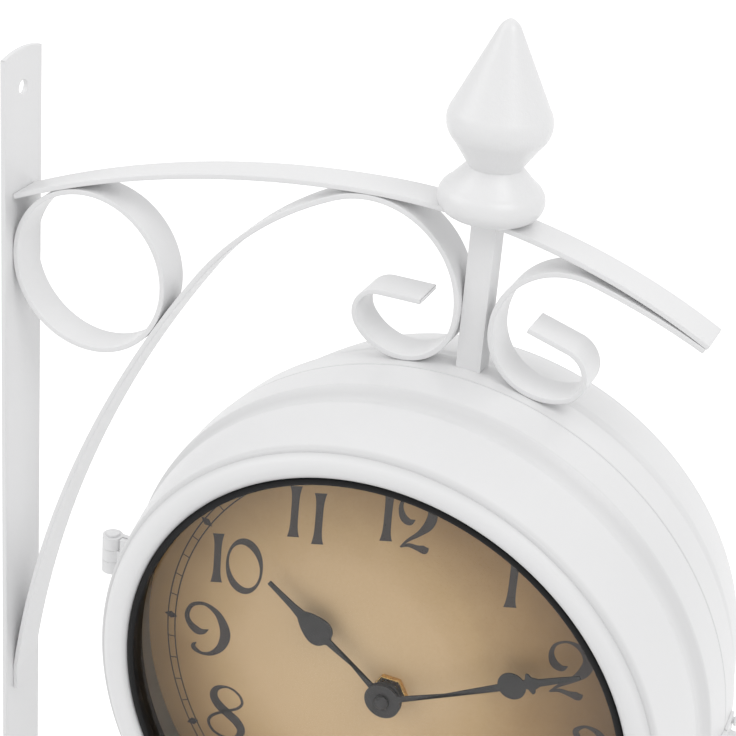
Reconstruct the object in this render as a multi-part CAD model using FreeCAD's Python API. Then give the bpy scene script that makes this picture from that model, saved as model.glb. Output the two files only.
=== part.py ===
import FreeCAD
import Part
import math
import os

# Double sided station clock on a wall bracket, in millimetres.
# +X points away from the wall, -Y towards the front dial, +Z up.
# Origin: wall plane, middle plane of the bracket bars, midway between the two screw holes.

V = FreeCAD.Vector
UP = V(0, 0, 1)

# ---- wall strip ----
STRIP_LENGTH = 350.0
STRIP_WIDTH = 25.0
STRIP_THICK = 2.0
STRIP_END_CROWN = 2.0
SCREW_HOLE_DIA = 5.5
SCREW_HOLE_FROM_END = 15.0

# ---- bent flat bars of the bracket ----
BAR_WIDTH = 15.0
BAR_THICK = 2.0
ARM_START_HEIGHT = 119.4
ARM_START_ANGLE = 24.6
ARM_INNER_RADIUS = 400.0
ARM_INNER_ANGLE = 21.24
ARM_OUTER_RADIUS = 235.0
ARM_OUTER_ANGLE = 30.6
FOOT_LENGTH = 10.0
FOOT_BEND_RADIUS = 15.0
FOOT_BEND_ANGLE = 8.0
STEM_ANGLE = 26.4
SHOULDER_RADIUS = 127.0
SHOULDER_ANGLE = 30.5
CROOK_RADIUS = 33.9
CROOK_ANGLE = 125.6
CURL_ANGLE = 133.5
EYE_RADIUS = 9.0
EYE_ANGLE = 124.7
LARGE_TIP_LENGTH = 15.5
TAIL_SETBACK = 0.4
TAIL_SPLAY_ANGLE = 3.0
TAIL_RADIUS = 233.3
TAIL_ANGLE = 10.6
SMALL_CROOK_RADIUS = 26.4
SMALL_CROOK_ANGLE = 106.3
SMALL_CURL_ANGLE = 110.7
SMALL_EYE_RADIUS = 9.8
SMALL_EYE_ANGLE = 141.0
SMALL_TIP_LENGTH = 15.4
TOUCH_GAP = 0.1

# ---- post and finial ----
POST_SIDE = 9.0
POST_OUTBOARD = 3.2
STUD_DIA = 5.0
STUD_GRIP = 11.0
POST_SCREW_DIA = 4.0
POST_SCREW_HEAD_RADIUS = 3.5
POST_SCREW_GRIP = 12.0
PLATE_LENGTH = 20.0
PLATE_DEPTH = 9.0
PLATE_THICK = 2.0
FINIAL_FOOT_RADIUS = 15.0
FINIAL_BASE_RADIUS = 18.2
FINIAL_BASE_HEIGHT = 4.6
FINIAL_BASE_TOP_RADIUS = 15.3
FINIAL_BASE_TOP_HEIGHT = 10.4
FINIAL_NECK_RADIUS = 9.3
FINIAL_NECK_HEIGHT = 17.0
FINIAL_SWELL_RADIUS = 15.0
FINIAL_SWELL_HEIGHT = 25.6
FINIAL_BULB_RADIUS = 17.8
FINIAL_BULB_HEIGHT = 31.6
FINIAL_TAPER_RADIUS = 16.3
FINIAL_TAPER_HEIGHT = 37.6
FINIAL_POINT_RADIUS = 4.0
FINIAL_POINT_HEIGHT = 63.6
FINIAL_TIP_RADIUS = 1.0
FINIAL_HEIGHT = 67.0

# ---- case ----
CASE_REACH = 181.1
CASE_TOP_HEIGHT = 97.7
SEAM_FORWARD = 12.1
CASE_RADIUS = 114.7
RIM_TAPER = 0.7
RIM_DEPTH = 12.8
COVE_START = 15.8
COVE_END = 25.0
COVE_STEP = 3.0
COVE_LEAD = 0.3
COVE_SAG = 0.6
COVE_SAG_SHARE = 0.42
FLANK_FALL = 9.0
FLANK_BOW = 0.35
HALF_DEPTH = 51.0
SHELL_WALL = 1.2
MOUTH_FLANGE = 2.2
SPIGOT_REACH = 3.0
SPIGOT_GAP = 0.35
SPIGOT_WALL = 1.0
SPIGOT_ROOT = 3.0
SPIGOT_START = 0.5

# ---- bezel, gasket, glass, sleeve ----
BEAD_INSET = 1.3
BEAD_WIDTH = 9.4
BEAD_EDGE_RISE = 0.8
BEAD_LIP_DROP = 0.1
BEAD_CREST_SHIFT = 0.5
BEAD_CREST = 3.1
SKIRT_SEAT = 1.0
SKIRT_WALL = 1.4
SKIRT_DEPTH = 10.0
GASKET_LIP_WIDTH = 2.7
GASKET_LIP_ROUND = 0.9
GASKET_BACK_GRIP = 1.3
GASKET_LIP_RISE = 0.8
GASKET_BACK = 39.0
GLASS_GRIP = 4.2
GLASS_THICK = 2.0
GLASS_FRONT = 48.3
SLEEVE_WALL = 1.2
SLEEVE_FLARE = 3.4
THROAT_CLEAR = 0.4

# ---- dial ----
DIAL_EDGE_GAP = 4.25
DIAL_THICK = 0.8
DIAL_FRONT = 27.7
DIAL_SCREW_INSET = 2.4
DIAL_SCREW_DIA = 2.9
DIAL_SCREW_COUNT = 4
DIAL_SCREW_FIRST_ANGLE = 45.0
BRACKET_SPREAD_ANGLE = 7.0
BRACKET_LEG = 9.0
BRACKET_THICK = 1.2

# ---- movement ----
MOVEMENT_SIDE = 56.0
MOVEMENT_DEPTH = 15.4
MOVEMENT_WALL = 1.6
MOVEMENT_CORNER = 3.0
WASHER_RADIUS = 9.0
WASHER_THICK = 0.6
BUSHING_RADIUS = 4.0
BUSHING_REACH = 3.3
NUT_ACROSS_FLATS = 12.0
NUT_THICK = 2.2
PIPE_RADIUS = 2.58
ARBOR_RADIUS = 1.5
RUNNING_GAP = 0.06
HOUR_WHEEL_RADIUS = 9.45
MINUTE_PINION_RADIUS = 2.85
SETTING_AXIS_DROP = 12.0
SETTING_SHAFT_RADIUS = 1.0
WHEEL_GAP = 0.3
KNOB_RADIUS = 7.0
KNOB_THICK = 3.5
BATTERY_RADIUS = 7.1
BATTERY_LENGTH = 49.4
BATTERY_NUB = 1.4
BATTERY_GAP = 0.3
CONTACT_THICK = 0.5
COVER_BOSS_HEIGHT = 2.0
COVER_BORE_FLOOR = 0.6
ARBOR_END_GAP = 0.3
PINION_DEPTH = 9.8
PINION_THICK = 1.6
MINUTE_WHEEL_SETBACK = 0.3
MINUTE_WHEEL_THICK = 1.0
HOUR_WHEEL_LEAD = 2.4
HOUR_WHEEL_THICK = 1.2
HOUR_PIPE_TAIL = 0.4
CAP_NUT_ROOF = 0.4

# ---- hands ----
HAND_THICK = 0.6
HOUR_HAND_LIFT = 5.8
MINUTE_HAND_LIFT = 7.6
HAND_BOSS_RADIUS = 6.8
HOUR_BAR_WIDTH = 2.6
HOUR_DROP_CENTRE = 34.0
HOUR_DROP_RADIUS = 5.8
HOUR_TIP = 58.0
HOUR_ANGLE = 305.0
MINUTE_BAR_WIDTH = 2.4
MINUTE_DISC_CENTRE = 52.0
MINUTE_DISC_RADIUS = 5.0
MINUTE_THORN_CENTRE = 59.5
MINUTE_THORN_REACH = 4.0
MINUTE_TIP = 78.0
MINUTE_ANGLE = 63.0
CAP_NUT_RADIUS = 2.8
CAP_NUT_HEIGHT = 2.0

# ---- hinge and catch ----
HINGE_STANDOFF = 16.0
HINGE_HEIGHT = 16.0
KNUCKLE_RADIUS = 4.0
HINGE_PIN_RADIUS = 1.5
PIN_GAP = 0.05
PIN_HEAD_RADIUS = 2.6
PIN_HEAD_THICK = 1.0
LEAF_THICK = 1.6
LEAF_PAD_DEPTH = 12.4
LEAF_ARM_THICK = 2.0
SEAM_CLEAR = 0.4
KNUCKLE_CLEAR = 0.4
RIVET_RADIUS = 1.2
RIVET_HEAD_RADIUS = 1.9
RIVET_HEAD_THICK = 0.9
CATCH_WIDTH = 14.0
CATCH_REACH = 8.0
TONGUE_THICK = 1.6
TONGUE_LENGTH = 8.0
JAW_GAP = 0.3
JAW_THICK = 1.0

# ---- derived places ----
CASE_DROP = CASE_RADIUS - CASE_TOP_HEIGHT
MOUTH_RADIUS = CASE_RADIUS - FLANK_FALL
MOUTH_BORE = MOUTH_RADIUS - MOUTH_FLANGE
BEAD_OUTER_RADIUS = MOUTH_RADIUS - BEAD_INSET
SIGHT_RADIUS = BEAD_OUTER_RADIUS - BEAD_WIDTH
GASKET_LIP_RADIUS = SIGHT_RADIUS - GASKET_LIP_WIDTH
GLASS_RADIUS = SIGHT_RADIUS + GLASS_GRIP
SLEEVE_DIAL_RADIUS = SIGHT_RADIUS + SLEEVE_FLARE
CASE = V(CASE_REACH, -SEAM_FORWARD, -CASE_DROP)
HOLE_HEIGHT = STRIP_LENGTH / 2 - SCREW_HOLE_FROM_END
POST_X = CASE_REACH + POST_OUTBOARD
DIAL_BACK = DIAL_FRONT - DIAL_THICK
HOUSING_FRONT = DIAL_BACK - WASHER_THICK
HOUSING_BACK = HOUSING_FRONT - MOVEMENT_DEPTH
BATTERY_HEIGHT = MOVEMENT_SIDE / 2 - MOVEMENT_WALL - BATTERY_RADIUS - 2 * BATTERY_GAP
BAY_FLOOR = BATTERY_HEIGHT - BATTERY_RADIUS - BATTERY_GAP
HINGE_X = CASE_REACH - CASE_RADIUS - HINGE_STANDOFF


# ---- helpers: plane outlines and solids ----
def turn(length, degrees):
    """Vector of a length at an angle above +X, in the X-Z plane."""
    angle = math.radians(degrees)
    return V(length * math.cos(angle), 0, length * math.sin(angle))


def bend(start, heading, runs):
    """Follow straight runs (length, None) and tangent arcs (radius, turn); left turns are positive."""
    path = []
    point = start
    for size, sweep in runs:
        path.append((point, heading, size, sweep))
        point, heading = travel(path[-1], 1.0)
    return path


def left_of(heading):
    return turn(1.0, heading + 90)


def centre_of(run):
    point, heading, size, sweep = run
    return point + left_of(heading) * math.copysign(size, sweep)


def travel(run, share):
    """Point and heading at a share of a run."""
    point, heading, size, sweep = run
    if sweep is None:
        return point + turn(size * share, heading), heading
    ahead = heading + sweep * share
    return centre_of(run) - left_of(ahead) * math.copysign(size, sweep), ahead


def beside(run, share, offset):
    point, heading = travel(run, share)
    return point + left_of(heading) * offset


def side_edges(path, offset):
    edges = []
    for run in path:
        first = beside(run, 0.0, offset)
        last = beside(run, 1.0, offset)
        if run[3] is None:
            edges.append(Part.LineSegment(first, last).toShape())
        else:
            edges.append(Part.Arc(first, beside(run, 0.5, offset), last).toShape())
    return edges


def flat_bar(path):
    """Bar of the bracket's section, centred on the path and on the bracket plane."""
    half = BAR_THICK / 2
    ends = []
    for run, share in ((path[0], 0.0), (path[-1], 1.0)):
        ends.append(Part.LineSegment(beside(run, share, half), beside(run, share, -half)).toShape())
    edges = side_edges(path, half) + side_edges(path, -half) + ends
    wire = Part.Wire(Part.__sortEdges__(edges))
    face = Part.Face(wire)
    face.translate(V(0, -BAR_WIDTH / 2, 0))
    return face.extrude(V(0, BAR_WIDTH, 0))


def side_points(path, offset):
    steps = 150
    return [beside(run, step / steps, offset) for run in path for step in range(steps + 1)]


def settle(gap, low, high):
    """Value between low and high at which a steadily rising gap reaches zero."""
    for _ in range(50):
        middle = (low + high) / 2
        if gap(middle) > 0:
            high = middle
        else:
            low = middle
    return (low + high) / 2


def outline(start, steps, place):
    """Closed face; a step is a corner (a, b) or an arc ((via), (to))."""
    edges = []
    here = start
    for step in steps + [start]:
        if isinstance(step[0], tuple):
            via, there = step
            edges.append(Part.Arc(place(*here), place(*via), place(*there)).toShape())
        else:
            there = step
            edges.append(Part.LineSegment(place(*here), place(*there)).toShape())
        here = there
    return Part.Face(Part.Wire(edges))


def at_case(across, depth, height=0.0):
    """Point from the case centre; depth runs forward from the seam."""
    return CASE + V(across, -depth, height)


def turned(start, steps, first=0.0, sweep=360.0):
    """Ring about the case axis from an outline of (radius, depth)."""
    face = outline(start, steps, at_case)
    face.rotate(CASE, V(0, -1, 0), first)
    return face.revolve(CASE, V(0, -1, 0), sweep)


def disc(radius, back, front, across=0.0, height=0.0):
    return Part.makeCylinder(radius, front - back, at_case(across, back, height), V(0, -1, 0))


def ring(outer, inner, back, front, across=0.0, height=0.0):
    return disc(outer, back, front, across, height).cut(disc(inner, back, front, across, height))


def block(left, right, back, front, bottom, top):
    return Part.makeBox(right - left, front - back, top - bottom, at_case(left, front, bottom))


def upright(radius, low, high, across, along=0.0):
    return Part.makeCylinder(radius, high - low, V(across, along, low), UP)


def joined(shapes):
    whole = shapes[0]
    for shape in shapes[1:]:
        whole = whole.fuse(shape)
    return whole.removeSplitter()


def piece_where(shape, keep):
    """The one solid of a cut shape whose centre of mass passes the test."""
    return [solid for solid in shape.Solids if keep(solid.CenterOfMass)][0]


def to_rear(shape):
    """The rear half is the front half turned about the case's upright axis."""
    copy = shape.copy()
    copy.rotate(CASE, UP, 180)
    return copy


# ---- bracket ----
def wall_strip():
    half = STRIP_WIDTH / 2
    top = STRIP_LENGTH / 2
    shoulder = top - STRIP_END_CROWN

    def place(across, height):
        return V(0, across, height)

    crowns = [((0, top), (half, shoulder)), (half, -shoulder), ((0, -top), (-half, -shoulder))]
    plate = outline((-half, shoulder), crowns, place).extrude(V(STRIP_THICK, 0, 0))
    for height in (-HOLE_HEIGHT, HOLE_HEIGHT):
        hole = Part.makeCylinder(SCREW_HOLE_DIA / 2, STRIP_THICK, V(0, 0, height), V(1, 0, 0))
        plate = plate.cut(hole)
    return plate


def arm_path():
    start = V(STRIP_THICK, 0, ARM_START_HEIGHT)
    runs = [(ARM_INNER_RADIUS, -ARM_INNER_ANGLE), (ARM_OUTER_RADIUS, -ARM_OUTER_ANGLE)]
    return bend(start, ARM_START_ANGLE, runs)


def under_arm(across):
    """Height of the arm's underside."""
    inner, outer = arm_path()
    run = inner if across < travel(inner, 1.0)[0].x else outer
    centre = centre_of(run)
    return centre.z + math.sqrt((run[2] - BAR_THICK / 2) ** 2 - (across - centre.x) ** 2)


def over_case(point):
    """Gap between a point of a bar and the case it rests on."""
    nearest = SEAM_FORWARD - BAR_WIDTH / 2
    return math.hypot(point.x - CASE.x, point.z - CASE.z) - rim_radius(nearest)


def large_path(foot_height, stem_radius, curl_radius):
    runs = [
        (FOOT_LENGTH, None),
        (FOOT_BEND_RADIUS, -FOOT_BEND_ANGLE),
        (stem_radius, -STEM_ANGLE),
        (SHOULDER_RADIUS, -SHOULDER_ANGLE),
        (CROOK_RADIUS, -CROOK_ANGLE),
        (curl_radius, -CURL_ANGLE),
        (EYE_RADIUS, -EYE_ANGLE),
        (LARGE_TIP_LENGTH, None),
    ]
    return bend(V(STRIP_THICK + BAR_THICK / 2, 0, foot_height), 90, runs)


def large_scroll_path():
    """The curl stands against the post, hangs from the arm and rests on the case."""
    post_face = POST_X - POST_SIDE / 2 - TOUCH_GAP
    half = BAR_THICK / 2

    def past_post(stem_radius):
        crook = large_path(0, stem_radius, CROOK_RADIUS)[3:6]
        return max(point.x for point in side_points(crook, half)) - post_face

    stem_radius = settle(past_post, 0.5 * CASE_REACH, 5 * CASE_REACH)

    def into_arm(foot_height):
        crook = large_path(foot_height, stem_radius, CROOK_RADIUS)[3:5]
        return max(point.z + TOUCH_GAP - under_arm(point.x) for point in side_points(crook, half))

    foot_height = settle(into_arm, -STRIP_LENGTH, STRIP_LENGTH)

    def into_case(curl_radius):
        curl = large_path(foot_height, stem_radius, curl_radius)[5:6]
        return TOUCH_GAP - min(over_case(point) for point in side_points(curl, half))

    curl_radius = settle(into_case, EYE_RADIUS, CROOK_RADIUS)
    return large_path(foot_height, stem_radius, curl_radius)


def small_path(curl_radius):
    outer = arm_path()[1]
    share = 1 - math.degrees(TAIL_SETBACK / ARM_OUTER_RADIUS) / ARM_OUTER_ANGLE
    point, heading = travel(outer, share)
    start = point - left_of(heading) * (BAR_THICK + TOUCH_GAP / 2)
    runs = [
        (TAIL_RADIUS, TAIL_ANGLE),
        (SMALL_CROOK_RADIUS, SMALL_CROOK_ANGLE),
        (curl_radius, SMALL_CURL_ANGLE),
        (SMALL_EYE_RADIUS, SMALL_EYE_ANGLE),
        (SMALL_TIP_LENGTH, None),
    ]
    return bend(start, heading + 180 + TAIL_SPLAY_ANGLE, runs)


def small_scroll_path():
    """The curl's lowest turn rests on the case."""

    def into_case(curl_radius):
        curl = small_path(curl_radius)[2:4]
        return TOUCH_GAP - min(over_case(point) for point in side_points(curl, -BAR_THICK / 2))

    return small_path(settle(into_case, SMALL_EYE_RADIUS, 2 * SMALL_CROOK_RADIUS))


def hoop():
    """Ring of flat bar in the corner: it touches the strip, the arm and the large scroll."""
    inner_arm = arm_path()[0]
    arm_centre = centre_of(inner_arm)
    stem = side_points(large_scroll_path()[2:4], BAR_THICK / 2)

    def centre(radius):
        across = STRIP_THICK + radius + TOUCH_GAP
        reach = ARM_INNER_RADIUS - BAR_THICK / 2 - radius - TOUCH_GAP
        return V(across, 0, arm_centre.z + math.sqrt(reach ** 2 - (across - arm_centre.x) ** 2))

    def into_stem(radius):
        return radius + TOUCH_GAP - min(point.distanceToPoint(centre(radius)) for point in stem)

    radius = settle(into_stem, BAR_WIDTH, CASE_RADIUS / 2)
    base = centre(radius) - V(0, BAR_WIDTH / 2, 0)
    outside = Part.makeCylinder(radius, BAR_WIDTH, base, V(0, 1, 0))
    return outside.cut(Part.makeCylinder(radius - BAR_THICK, BAR_WIDTH, base, V(0, 1, 0)))


def stud_hole(extra=0.0):
    return upright(STUD_DIA / 2 + extra, stud_low(), stud_high(), POST_X)


def stud_low():
    return under_arm(POST_X) - STUD_GRIP


def stud_high():
    return under_arm(POST_X) + BAR_THICK + STUD_GRIP


def arm():
    behind = Part.makeBox(CASE_REACH, STRIP_WIDTH, STRIP_LENGTH)
    behind.translate(V(STRIP_THICK - CASE_REACH, -STRIP_WIDTH / 2, 0))
    return flat_bar(arm_path()).cut(behind).cut(stud_hole(PIN_GAP))


def post():
    half = POST_SIDE / 2
    foot = CASE.z + CASE_RADIUS - POST_SIDE
    head = under_arm(POST_X) + POST_SIDE
    bar = Part.makeBox(POST_SIDE, POST_SIDE, head - foot, V(POST_X - half, -half, foot))
    bar = bar.cut(to_rear(case_block())).cut(flat_bar(arm_path()))
    middle = (foot + head) / 2
    bar = piece_where(bar, lambda centre: abs(centre.z - middle) < middle - foot - POST_SIDE)
    return bar.cut(stud_hole(PIN_GAP)).cut(post_screw_shank(PIN_GAP))


def finial():
    """Turned spear: a rounded base, a sharp neck and a long tapering bulb."""
    seat = under_arm(POST_X) + BAR_THICK

    def place(radius, height):
        return V(POST_X + radius, 0, seat + height)

    point_middle = (FINIAL_POINT_HEIGHT + FINIAL_HEIGHT) / 2
    steps = [
        (FINIAL_FOOT_RADIUS, 0.0),
        ((FINIAL_BASE_RADIUS, FINIAL_BASE_HEIGHT), (FINIAL_BASE_TOP_RADIUS, FINIAL_BASE_TOP_HEIGHT)),
        (FINIAL_NECK_RADIUS, FINIAL_NECK_HEIGHT),
        (FINIAL_SWELL_RADIUS, FINIAL_SWELL_HEIGHT),
        ((FINIAL_BULB_RADIUS, FINIAL_BULB_HEIGHT), (FINIAL_TAPER_RADIUS, FINIAL_TAPER_HEIGHT)),
        (FINIAL_POINT_RADIUS, FINIAL_POINT_HEIGHT),
        ((0.75 * FINIAL_POINT_RADIUS, point_middle), (FINIAL_TIP_RADIUS, FINIAL_HEIGHT)),
        (0.0, FINIAL_HEIGHT),
    ]
    body = outline((0.0, 0.0), steps, place).revolve(V(POST_X, 0, seat), UP, 360)
    return body.cut(flat_bar(arm_path())).cut(stud_hole(PIN_GAP))


def plate_radius():
    """Inside face of the plate under the post."""
    return cove_edge() - SHELL_WALL - TOUCH_GAP / 2 - PLATE_THICK


def post_screw_shank(extra=0.0):
    head_edge = POST_OUTBOARD + POST_SCREW_HEAD_RADIUS
    low = CASE.z + math.sqrt(plate_radius() ** 2 - head_edge ** 2) - TOUCH_GAP / 2
    return upright(POST_SCREW_DIA / 2 + extra, low, CASE.z + CASE_RADIUS + POST_SCREW_GRIP, POST_X)


def post_screw():
    shank = post_screw_shank()
    under = shank.BoundBox.ZMin
    head = upright(POST_SCREW_HEAD_RADIUS, under - 0.6 * POST_SCREW_DIA, under, POST_X)
    return joined([shank, head])


def post_plate():
    """Curved plate inside the rear half, under the post."""
    back = SEAM_FORWARD - PLATE_DEPTH / 2
    front = COVE_START
    inner = plate_radius()
    outer = inner + PLATE_THICK
    spread = math.degrees(PLATE_LENGTH / outer)
    first = 90 - spread / 2
    plate = turned((inner, back), [(outer, back), (outer, front), (inner, front)], first, spread)
    return to_rear(plate).cut(post_screw_shank(PIN_GAP))


# ---- case halves, built in front of the seam ----
def rim_radius(depth):
    return CASE_RADIUS - RIM_TAPER * depth / RIM_DEPTH


def cove_edge():
    """Outside radius where the cove starts."""
    return CASE_RADIUS - RIM_TAPER - COVE_LEAD


def inner_radius(depth):
    return rim_radius(depth) - SHELL_WALL


def flank_radius(depth):
    """Outside of the flank between the cove and the mouth."""
    high = CASE_RADIUS - RIM_TAPER - COVE_STEP
    return high + (MOUTH_RADIUS - high) * (depth - COVE_END) / (HALF_DEPTH - COVE_END)


def skin(inset):
    """Steps of the case outline, from the seam to the mouth, inset by a wall."""
    rim = CASE_RADIUS - RIM_TAPER
    low = rim - COVE_STEP
    sag_depth = COVE_START + COVE_SAG_SHARE * (COVE_END - COVE_START)
    middle = (COVE_END + HALF_DEPTH) / 2
    return [
        (rim - inset, RIM_DEPTH),
        (cove_edge() - inset, COVE_START),
        ((low + COVE_SAG - inset, sag_depth), (low - inset, COVE_END)),
        ((flank_radius(middle) + FLANK_BOW - inset, middle), (MOUTH_RADIUS - inset, HALF_DEPTH - inset)),
    ]


def reverse(start, steps):
    """The same steps walked backwards, with their first point last."""
    corners = [start] + [step[1] if isinstance(step[0], tuple) else step for step in steps]
    back = []
    for number in range(len(steps) - 1, -1, -1):
        step = steps[number]
        if isinstance(step[0], tuple):
            back.append((step[0], corners[number]))
        else:
            back.append(corners[number])
    return back


def half_shell():
    start = (CASE_RADIUS, 0.0)
    outside = skin(0.0)
    inside_start = (CASE_RADIUS - SHELL_WALL, 0.0)
    inside = skin(SHELL_WALL)
    mouth = [(MOUTH_BORE, HALF_DEPTH), (MOUTH_BORE, HALF_DEPTH - SHELL_WALL), inside[-1][1]]
    return turned(start, outside + mouth + reverse(inside_start, inside))


def case_block():
    """The closed half as one block, for fitting the post to it."""
    return turned((CASE_RADIUS, 0.0), skin(0.0) + [(0.0, HALF_DEPTH), (0.0, 0.0)])


def bezel_ring():
    """Rolled bead that covers the mouth, with a skirt that goes into it."""
    outer = BEAD_OUTER_RADIUS
    skirt = MOUTH_BORE - TOUCH_GAP
    crest = ((outer + SIGHT_RADIUS) / 2 + BEAD_CREST_SHIFT, HALF_DEPTH + BEAD_CREST)
    seat = HALF_DEPTH - SKIRT_SEAT
    steps = [
        (outer, HALF_DEPTH + BEAD_EDGE_RISE),
        (crest, (SIGHT_RADIUS, HALF_DEPTH - BEAD_LIP_DROP)),
        (SIGHT_RADIUS, seat),
        (skirt - SKIRT_WALL, seat),
        (skirt - SKIRT_WALL, HALF_DEPTH - SKIRT_DEPTH),
        (skirt, HALF_DEPTH - SKIRT_DEPTH),
        (skirt, HALF_DEPTH),
    ]
    return turned((outer, HALF_DEPTH), steps)


def gasket_outer():
    return MOUTH_BORE - SKIRT_WALL - 2 * TOUCH_GAP


def sleeve_throat():
    return SIGHT_RADIUS + THROAT_CLEAR


def gasket():
    """Rubber channel round the edge of the glass."""
    outer = gasket_outer()
    seat = HALF_DEPTH - SKIRT_SEAT - TOUCH_GAP / 2
    lip = GASKET_LIP_RADIUS
    groove = GLASS_RADIUS + TOUCH_GAP
    glass_back = GLASS_FRONT - GLASS_THICK
    steps = [
        (outer, seat),
        (SIGHT_RADIUS - TOUCH_GAP, seat),
        (SIGHT_RADIUS - TOUCH_GAP, HALF_DEPTH - BEAD_LIP_DROP),
        ((lip + GASKET_LIP_ROUND, HALF_DEPTH + GASKET_LIP_RISE), (lip, HALF_DEPTH)),
        (lip, GLASS_FRONT + TOUCH_GAP / 2),
        (groove, GLASS_FRONT + TOUCH_GAP / 2),
        (groove, glass_back - TOUCH_GAP / 2),
        (lip + GASKET_BACK_GRIP, glass_back - TOUCH_GAP / 2),
        (SIGHT_RADIUS, GASKET_BACK),
    ]
    return turned((outer, GASKET_BACK), steps)


def glass():
    return disc(GLASS_RADIUS, GLASS_FRONT - GLASS_THICK, GLASS_FRONT)


def spacer_sleeve():
    """Slightly conical ring from the gasket back to the dial."""
    throat = sleeve_throat()
    base = SLEEVE_DIAL_RADIUS
    steps = [
        (throat + SLEEVE_WALL, GASKET_BACK),
        (base + SLEEVE_WALL, DIAL_FRONT),
        (base, DIAL_FRONT),
    ]
    return turned((throat, GASKET_BACK), steps)


def dial_radius():
    return flank_radius(DIAL_FRONT) - SHELL_WALL - DIAL_EDGE_GAP


def screw_places():
    step = 360.0 / DIAL_SCREW_COUNT
    circle = dial_radius() - DIAL_SCREW_INSET
    for number in range(DIAL_SCREW_COUNT):
        angle = math.radians(DIAL_SCREW_FIRST_ANGLE + number * step)
        yield circle * math.cos(angle), circle * math.sin(angle)


def dial():
    plate = ring(dial_radius(), BUSHING_RADIUS + 2 * TOUCH_GAP, DIAL_BACK, DIAL_FRONT)
    for across, height in screw_places():
        plate = plate.cut(disc(DIAL_SCREW_DIA / 2 + PIN_GAP, DIAL_BACK, DIAL_FRONT, across, height))
    return plate


def dial_brackets():
    """Angle pieces on the inside of the flank, in front of the dial."""
    foot = DIAL_FRONT + BRACKET_THICK
    tip = foot + BRACKET_LEG
    toe = SLEEVE_DIAL_RADIUS + SLEEVE_WALL + 2 * TOUCH_GAP

    def wall(depth):
        return flank_radius(depth) - SHELL_WALL - TOUCH_GAP

    steps = [
        (wall(DIAL_FRONT), DIAL_FRONT),
        (wall(tip), tip),
        (wall(tip) - BRACKET_THICK, tip),
        (wall(foot) - BRACKET_THICK, foot),
        (toe, foot),
    ]
    step = 360.0 / DIAL_SCREW_COUNT
    first = DIAL_SCREW_FIRST_ANGLE - BRACKET_SPREAD_ANGLE / 2
    brackets = []
    for number, (across, height) in enumerate(screw_places()):
        bracket = turned((toe, DIAL_FRONT), steps, first + number * step, BRACKET_SPREAD_ANGLE)
        hole = disc(DIAL_SCREW_DIA / 2 + PIN_GAP, DIAL_FRONT, foot, across, height)
        brackets.append(bracket.cut(hole))
    return Part.makeCompound(brackets)


def dial_screws():
    screws = []
    tip = DIAL_FRONT + 2 * BRACKET_THICK
    for across, height in screw_places():
        shank = disc(DIAL_SCREW_DIA / 2, DIAL_BACK, tip, across, height)
        head = disc(DIAL_SCREW_DIA, DIAL_BACK - 0.55 * DIAL_SCREW_DIA, DIAL_BACK, across, height)
        screws.append(joined([shank, head]))
    return Part.makeCompound(screws)


# ---- movement ----
def movement_housing():
    half = MOVEMENT_SIDE / 2
    room = half - MOVEMENT_WALL
    floor = HOUSING_FRONT - MOVEMENT_WALL
    body = block(-half, half, HOUSING_BACK, HOUSING_FRONT, -half, half)
    corners = [edge for edge in body.Edges if abs(edge.tangentAt(edge.FirstParameter).y) > 0.99]
    body = body.makeFillet(MOVEMENT_CORNER, corners)
    body = body.cut(block(-room, room, HOUSING_BACK, floor, -room, room))
    bay_wall = block(-room, room, HOUSING_BACK, floor, BAY_FLOOR - MOVEMENT_WALL / 2, BAY_FLOOR)
    bushing = disc(BUSHING_RADIUS, floor, DIAL_FRONT + BUSHING_REACH)
    body = joined([body, bay_wall, bushing])
    body = body.cut(disc(PIPE_RADIUS + RUNNING_GAP, floor, DIAL_FRONT + BUSHING_REACH))
    pivot = disc(SETTING_SHAFT_RADIUS + RUNNING_GAP, floor, floor + MOVEMENT_WALL / 2, 0, -SETTING_AXIS_DROP)
    return body.cut(pivot)


def cover_back():
    return HOUSING_BACK - MOVEMENT_WALL


def movement_cover():
    half = MOVEMENT_SIDE / 2
    room = half - MOVEMENT_WALL
    boss_top = HOUSING_BACK + COVER_BOSS_HEIGHT
    plate = block(-half, half, cover_back(), HOUSING_BACK, -half, half)
    corners = [edge for edge in plate.Edges if abs(edge.tangentAt(edge.FirstParameter).y) > 0.99]
    plate = plate.makeFillet(MOVEMENT_CORNER, corners)
    plate = plate.cut(block(-room, room, cover_back(), HOUSING_BACK, BAY_FLOOR, room))
    plate = joined([plate, disc(2 * ARBOR_RADIUS, HOUSING_BACK, boss_top)])
    plate = plate.cut(disc(ARBOR_RADIUS + RUNNING_GAP, cover_back() + COVER_BORE_FLOOR, boss_top))
    shaft_hole = SETTING_SHAFT_RADIUS + RUNNING_GAP
    return plate.cut(disc(shaft_hole, cover_back(), HOUSING_BACK, 0, -SETTING_AXIS_DROP))


def battery_depth():
    return cover_back() + BATTERY_RADIUS + BATTERY_GAP


def along_battery(radius, left, right):
    base = at_case(left, battery_depth(), BATTERY_HEIGHT)
    return Part.makeCylinder(radius, right - left, base, V(1, 0, 0))


def battery():
    left = -BATTERY_LENGTH / 2 - BATTERY_NUB / 4
    right = left + BATTERY_LENGTH
    body = along_battery(BATTERY_RADIUS, left, right)
    return joined([body, along_battery(0.38 * BATTERY_RADIUS, right, right + BATTERY_NUB)])


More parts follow.
